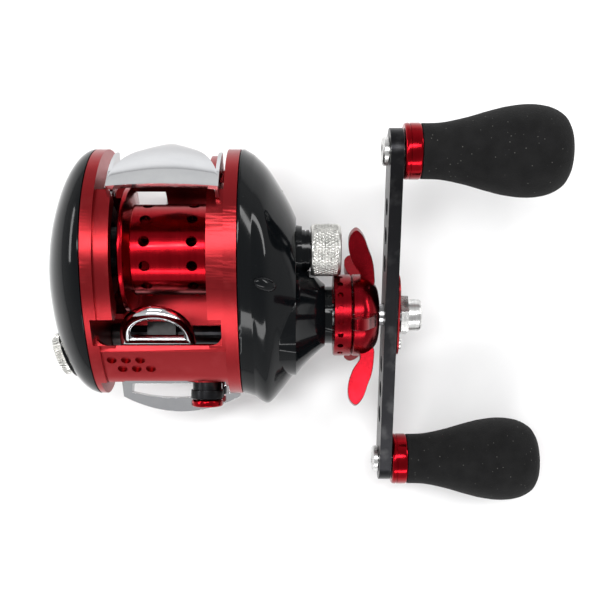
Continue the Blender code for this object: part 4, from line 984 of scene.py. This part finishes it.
def make_spool():
    profile = [(-13.0, 1.55), (-13.0, 3.2), (-1.2, 3.2), (-1.2, 11.2), (-10.6, 11.2),
               (-12.4, 16.0), (-12.4, 16.7), (-12.1, 17.0), (-11.5, 17.0), (-11.1, 16.7),
               (-10.1, 12.9), (-9.7, 12.45), (9.7, 12.45), (10.1, 12.9), (11.1, 16.7),
               (11.5, 17.0), (12.1, 17.0), (12.4, 16.7), (12.4, 16.0), (10.6, 11.2), (1.2, 11.2),
               (1.2, 3.2), (12.6, 3.2), (12.6, 1.55)]
    spool = turned("line_spool", profile, SPOOL_AXIS, 128)
    combined(spool, [], round_holes((-6.2, 6.2), 12, 10.0, 14.0, DRUM_HOLE_RADIUS, SPOOL_AXIS,
                                    23.0))
    soften(spool, 0.16, 2, 40.0)
    dress(spool, red_spool, "spool", "red_bright", "spool")


def make_click_ring():
    low, high = ends_x("click_ring")
    ring = turned("drag_click_ring", [(low, 8.3), (low, 11.0), (low + 0.3, 11.3),
                                      (high - 0.3, 11.3), (high, 11.0), (high, 8.3)], CRANK_AXIS)
    combined(ring, [], round_holes((low + 1.8,), 19, 10.2, 13.0, 0.8, CRANK_AXIS, 4.0))
    soften(ring, 0.1, 2, 40.0)
    dress(ring, red_star, "star_drag", "red_bright", "click_ring")


def make_star():
    low = start_x("star_wheel") + 1.2
    hub = turned("hub", [(0.0, 7.8), (0.0, 11.0), (0.3, 11.3), (2.6, 11.3), (3.6, 11.1),
                         (4.7, 10.5), (5.7, 9.6), (6.6, 8.4), (7.1, 7.2), (7.4, 5.6), (7.4, 3.4),
                         (4.7, 3.4), (4.7, 7.8)], CRANK_AXIS, start=low)
    leaf = smooth_closed([(50.4, 9.4), (50.9, 12.2), (48.7, 15.8), (47.5, 19.8), (47.7, 23.4),
                          (49.5, 25.2), (51.5, 23.2), (52.8, 19.8), (54.0, 16.6), (54.6, 12.8),
                          (54.4, 9.4)], 5)
    pieces = [hub]
    half = STAR_ARM_THICKNESS / 2
    for index in range(STAR_ARMS):
        angle = math.radians(STAR_PHASE + 360.0 / STAR_ARMS * index)
        turn = top_plane(CRANK_AXIS) @ Matrix.Rotation(angle, 4, "X")
        arm = extruded("arm", [leaf], -half, half, turn)
        pieces.append(soften(arm, 0.55, 3))
    star = gathered("drag_star", pieces)
    dress(star, red_star, "star_drag", "red_bright", "star_wheel")


def make_crank():
    low, high = ends_x("crank_arm")
    holes = [circle(3.35)]
    for side in (-1, 1):
        for reach in CRANK_HOLES:
            centre = (side * reach * math.cos(CRANK_TILT), side * reach * math.sin(CRANK_TILT))
            holes.append(circle(CRANK_HOLE_RADIUS, centre))
    for label in KNOB_AXES:
        holes.append(circle(2.7, tuple(KNOB_AXES[label] - CRANK_AXIS)))
    arm = extruded("crank_bar", [stadium(CRANK_REACH, 6.0, CRANK_TILT)] + holes, low, high,
                   CRANK_SIDE)
    soften(arm, 0.55, 2)
    dress(arm, black_metal, "crank", "black_metal", "crank_arm")
    plate = extruded("nut_plate", [stadium(7.0, 4.6, CRANK_TILT), circle(3.5)],
                     *ends_x("nut_retainer"), CRANK_SIDE)
    soften(plate, 0.15, 2)
    dress(plate, red_satin, "crank", "red_satin", "nut_retainer")


def make_nut():
    low, high = ends_x("handle_nut")
    hexagon = extruded("hexagon", [circle(5.77, count=6, phase=CRANK_TILT), circle(2.8)], low,
                       low + 2.1, CRANK_SIDE)
    soften(hexagon, 0.35, 3)
    cap = turned("cap", [(low + 1.0, 2.8), (low + 1.0, 4.4), (high - 1.0, 4.4),
                         (high - 0.45, 4.25), (high - 0.12, 3.9), (high, 3.4), (high, 0.0),
                         (high - 0.9, 0.0), (high - 0.9, 2.8)], CRANK_AXIS, 64)
    nut = gathered("crank_nut", [hexagon, cap])
    dress(nut, silver, "crank", "silver", "handle_nut")


def make_knob(label):
    """Foam knob with its metal ferrule and end cap, and its spindle through the crank."""
    axis = KNOB_AXES[label]
    body = "knob_" + label
    low, high = ends_x("knob_ferrule_" + label)
    ferrule = turned("ferrule_" + label,
                     [(low, 2.7), (low, 6.8), (low + 0.15, 7.1), (low + 0.45, 7.3),
                      (low + 0.9, 7.35), (low + 1.2, 7.35), (low + 1.3, 7.15), (low + 1.5, 7.15),
                      (low + 1.6, 7.35), (high - 0.5, 7.35), (high - 0.1, 7.2), (high, 6.95),
                      (high, 2.7)], axis)
    dress(ferrule, red_knob[label], body, "red_bright", "knob_ferrule_" + label)
    start = start_x("knob_grip_" + label)
    outer = smooth_open([(0.0, 7.2), (5.1, 7.4), (11.1, 8.6), (17.1, 10.3), (22.1, 11.5),
                         (27.6, 12.05), (32.6, 11.4), (36.1, 9.6), (37.6, 7.6),
                         (38.0, 6.6)], 7)
    inner = [(37.6, 6.15), (36.0, 6.05), (36.0, 4.0), (32.1, 4.0), (32.1, 2.7), (0.0, 2.7)]
    grip = turned("foam_" + label, outer + inner, axis, 128, start)
    dress(grip, foam, body, "foam", "knob_grip_" + label)
    low, high = ends_x("knob_cap_" + label)
    cap = turned("end_cap_" + label,
                 [(low, 0.0), (low, 5.6), (low + 0.15, 5.75), (high - 1.3, 5.75),
                  (high - 1.05, 5.55), (high - 0.75, 5.1), (high - 0.5, 4.5), (high - 0.3, 3.6),
                  (high - 0.1, 2.2), (high, 0.0)], axis, 64)
    dress(cap, red_knob[label], body, "red_bright", "knob_cap_" + label)
    low, high = ends_x("knob_spindle_" + label)
    spindle = turned("spindle_" + label,
                     [(low + 0.45, 0.0), (low + 0.45, 1.5), (low, 1.9), (low, 3.2),
                      (low + 0.15, 3.5), (low + 0.5, 3.8), (low + 1.5, 3.8), (low + 1.5, 2.35),
                      (high, 2.35), (high, 0.0)], axis, 48)
    dress(spindle, silver, "crank", "silver", "knob_spindle_" + label)


# ---------------------------------------------------------------- tension cap and button

def make_tension_cap():
    """Cap with a diamond knurl, cut by two crossing sets of grooves."""
    low, high = ends_x("cast_control_knob")
    radius, depth, grooves, margin, pitch = 7.15, 0.22, 44, 0.55, 0.85
    rows, columns = 56, grooves * 8
    cage = bmesh.new()
    rings = []
    for row in range(rows + 1):
        x = low + margin + (high - low - 2 * margin) * row / rows
        fade = min(1.0, 12.0 * min(row, rows - row) / rows)
        ring = []
        for column in range(columns):
            angle = math.tau * column / columns
            along = (x - low) / pitch
            first = abs(math.sin(0.5 * (grooves * angle + along * math.pi)))
            second = abs(math.sin(0.5 * (grooves * angle - along * math.pi)))
            height = min(first, second) * 1.6
            reach = radius - depth + depth * min(1.0, height) * fade
            ring.append(cage.verts.new(metres(x, reach * math.cos(angle),
                                              reach * math.sin(angle), SPOOL_AXIS)))
        rings.append(ring)
    join_rings(cage, rings)
    skin = finished("skin", cage)
    core = turned("core", [(low, 5.2), (low, 6.6), (low + 0.2, 6.85), (low + 0.6, 6.95),
                           (high - 0.6, 6.95), (high - 0.25, 6.8), (high, 6.4),
                           (high - 0.02, 5.4), (high - 0.25, 5.2), (high - 0.25, 0.0),
                           (high - 2.2, 0.0), (high - 2.2, 5.2)], SPOOL_AXIS)
    cap = gathered("tension_cap", [skin, core])
    dress(cap, knurl_silver, "tension_knob", "silver", "cast_control_knob")


def make_button():
    low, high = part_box("button_barrel")
    front = low.y / MM - SPOOL_AXIS.x
    back = high.y / MM - SPOOL_AXIS.x
    rim = button_rod("rim", front, front + 2.4, BUTTON_RADIUS)
    neck = button_rod("neck", front + 2.2, back, BUTTON_RADIUS - 0.5)
    barrel = gathered("button_stem", [soften(rim, 0.2, 2), neck])
    dress(barrel, black_metal, "button", "black_metal", "button_barrel")
    low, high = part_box("button_cap")
    cap = button_rod("button_face", low.y / MM - SPOOL_AXIS.x, high.y / MM - SPOOL_AXIS.x,
                     BUTTON_RADIUS - 0.1)
    soften(cap, 0.55, 4)
    dress(cap, red_button, "button", "red_bright", "button_cap")


# ---------------------------------------------------------------- CAD nodes that stay

NODE_PLACE = {
    "cover_screw": ("frame", "steel", "cover_screw"),
    "retainer_screw": ("crank", "silver", "retainer_screw"),
}
KEPT_MATERIALS = {
    "steel": steel, "brass": brass, "black_metal": black_metal, "black_plastic": black_plastic,
    "carbon": carbon, "magnet": magnet_plating, "silver": silver, "red_satin": red_satin,
    "red_bright": red_star, "chrome": chrome, "foam": foam, "black_gloss": black_gloss,
}


def dress_cad_nodes():
    slots = {part["node"]: part["material_slot"] for part in frame["record"]["subparts"]}
    for name, node in frame["nodes"].items():
        material = KEPT_MATERIALS[slots[name]]
        for index in range(max(1, len(node.material_slots))):
            if index < len(node.material_slots):
                node.material_slots[index].material = material
            else:
                node.data.materials.append(material)


make_frame()
make_foot()
make_palm_cover()
make_dial()
make_handle_cover()
make_screw("side_screw", "cover_screw", SPOOL_AXIS, COVER_SCREW, steel, 2.0, 1.1)
make_front_bar()
make_thumb_bar()
make_line_guide()
make_carriage()
make_spool()
make_click_ring()
make_star()
make_crank()
make_nut()
make_screw("plate_screw", "retainer_screw", CRANK_AXIS,
           (-PLATE_SCREW_REACH * math.cos(CRANK_TILT), -PLATE_SCREW_REACH * math.sin(CRANK_TILT)),
           silver, 1.8, 0.8)
for knob_label in KNOB_AXES:
    make_knob(knob_label)
make_tension_cap()
make_button()
dress_cad_nodes()


# ---------------------------------------------------------------- floor, light and camera

def make_floor():
    gap, side = 0.0004, 1.6      # metres
    low = cad_box[0].z - gap
    mesh = bpy.data.meshes.new("floor")
    mesh.from_pydata([(-side, -side, low), (side, -side, low), (side, side, low),
                      (-side, side, low)], [], [(0, 1, 2, 3)])
    floor = object_of("floor", mesh)
    paper = Surface("floor_paper", 0.9, 0.0, specular=0.1)
    paper.colour(paper.ramp(paper.noise(60.0, 4.0), (0.3, (0.9, 0.9, 0.9)),
                            (0.7, (0.93, 0.93, 0.93))))
    mesh.materials.append(paper.material)


def add_area_light(name, place, target, size, power):
    data = bpy.data.lights.new(name, "AREA")
    data.shape = "RECTANGLE"
    data.size, data.size_y = size
    data.energy = power
    lamp = object_of(name, data)
    lamp.location = place
    lamp.rotation_euler = (Vector(target) - Vector(place)).to_track_quat("-Z", "Y").to_euler()


def make_lights():
    """Studio: a white room that is darker overhead, with soft boxes above and at the sides."""
    target = (cad_box[0] + cad_box[1]) / 2
    boxes = {
        "top_box": ((-0.05, 0.12, 0.62), (0.46, 0.09), 2.2),
        "left_box": ((-0.55, 0.15, 0.38), (0.5, 0.1), 1.9),
        "right_box": ((0.6, 0.3, 0.42), (0.4, 0.1), 1.6),
        "near_box": ((0.05, -0.6, 0.4), (0.6, 0.1), 1.7),
    }
    for name, (offset, size, power) in boxes.items():
        add_area_light(name, target + Vector(offset), target, size, power)
    world = bpy.data.worlds.new("studio")
    bpy.context.scene.world = world
    world.use_nodes = True
    tree = world.node_tree
    background = tree.nodes["Background"]
    place, split, ramp = (tree.nodes.new("ShaderNode" + kind)
                          for kind in ("TexCoord", "SeparateXYZ", "ValToRGB"))
    below, overhead = ramp.color_ramp.elements
    below.position, overhead.position = 0.25, 0.85
    below.color = (0.8, 0.8, 0.8, 1.0)
    overhead.color = (0.42, 0.42, 0.425, 1.0)
    tree.links.new(place.outputs["Generated"], split.inputs[0])
    tree.links.new(split.outputs["Z"], ramp.inputs["Fac"])
    tree.links.new(ramp.outputs["Color"], background.inputs["Color"])
    background.inputs["Strength"].default_value = 1.0


def make_camera():
    """Straight down from a quarter of a metre above the crank's axis."""
    data = bpy.data.cameras.new("camera")
    data.lens = 53.85
    data.sensor_width = 36.0
    camera = object_of("camera", data)
    height = 0.25
    camera.location = (0.0344, -0.00766, CRANK_AXIS.y * MM + height)
    bpy.context.scene.camera = camera


make_floor()
make_lights()
make_camera()
bpy.context.scene.view_settings.view_transform = "Standard"
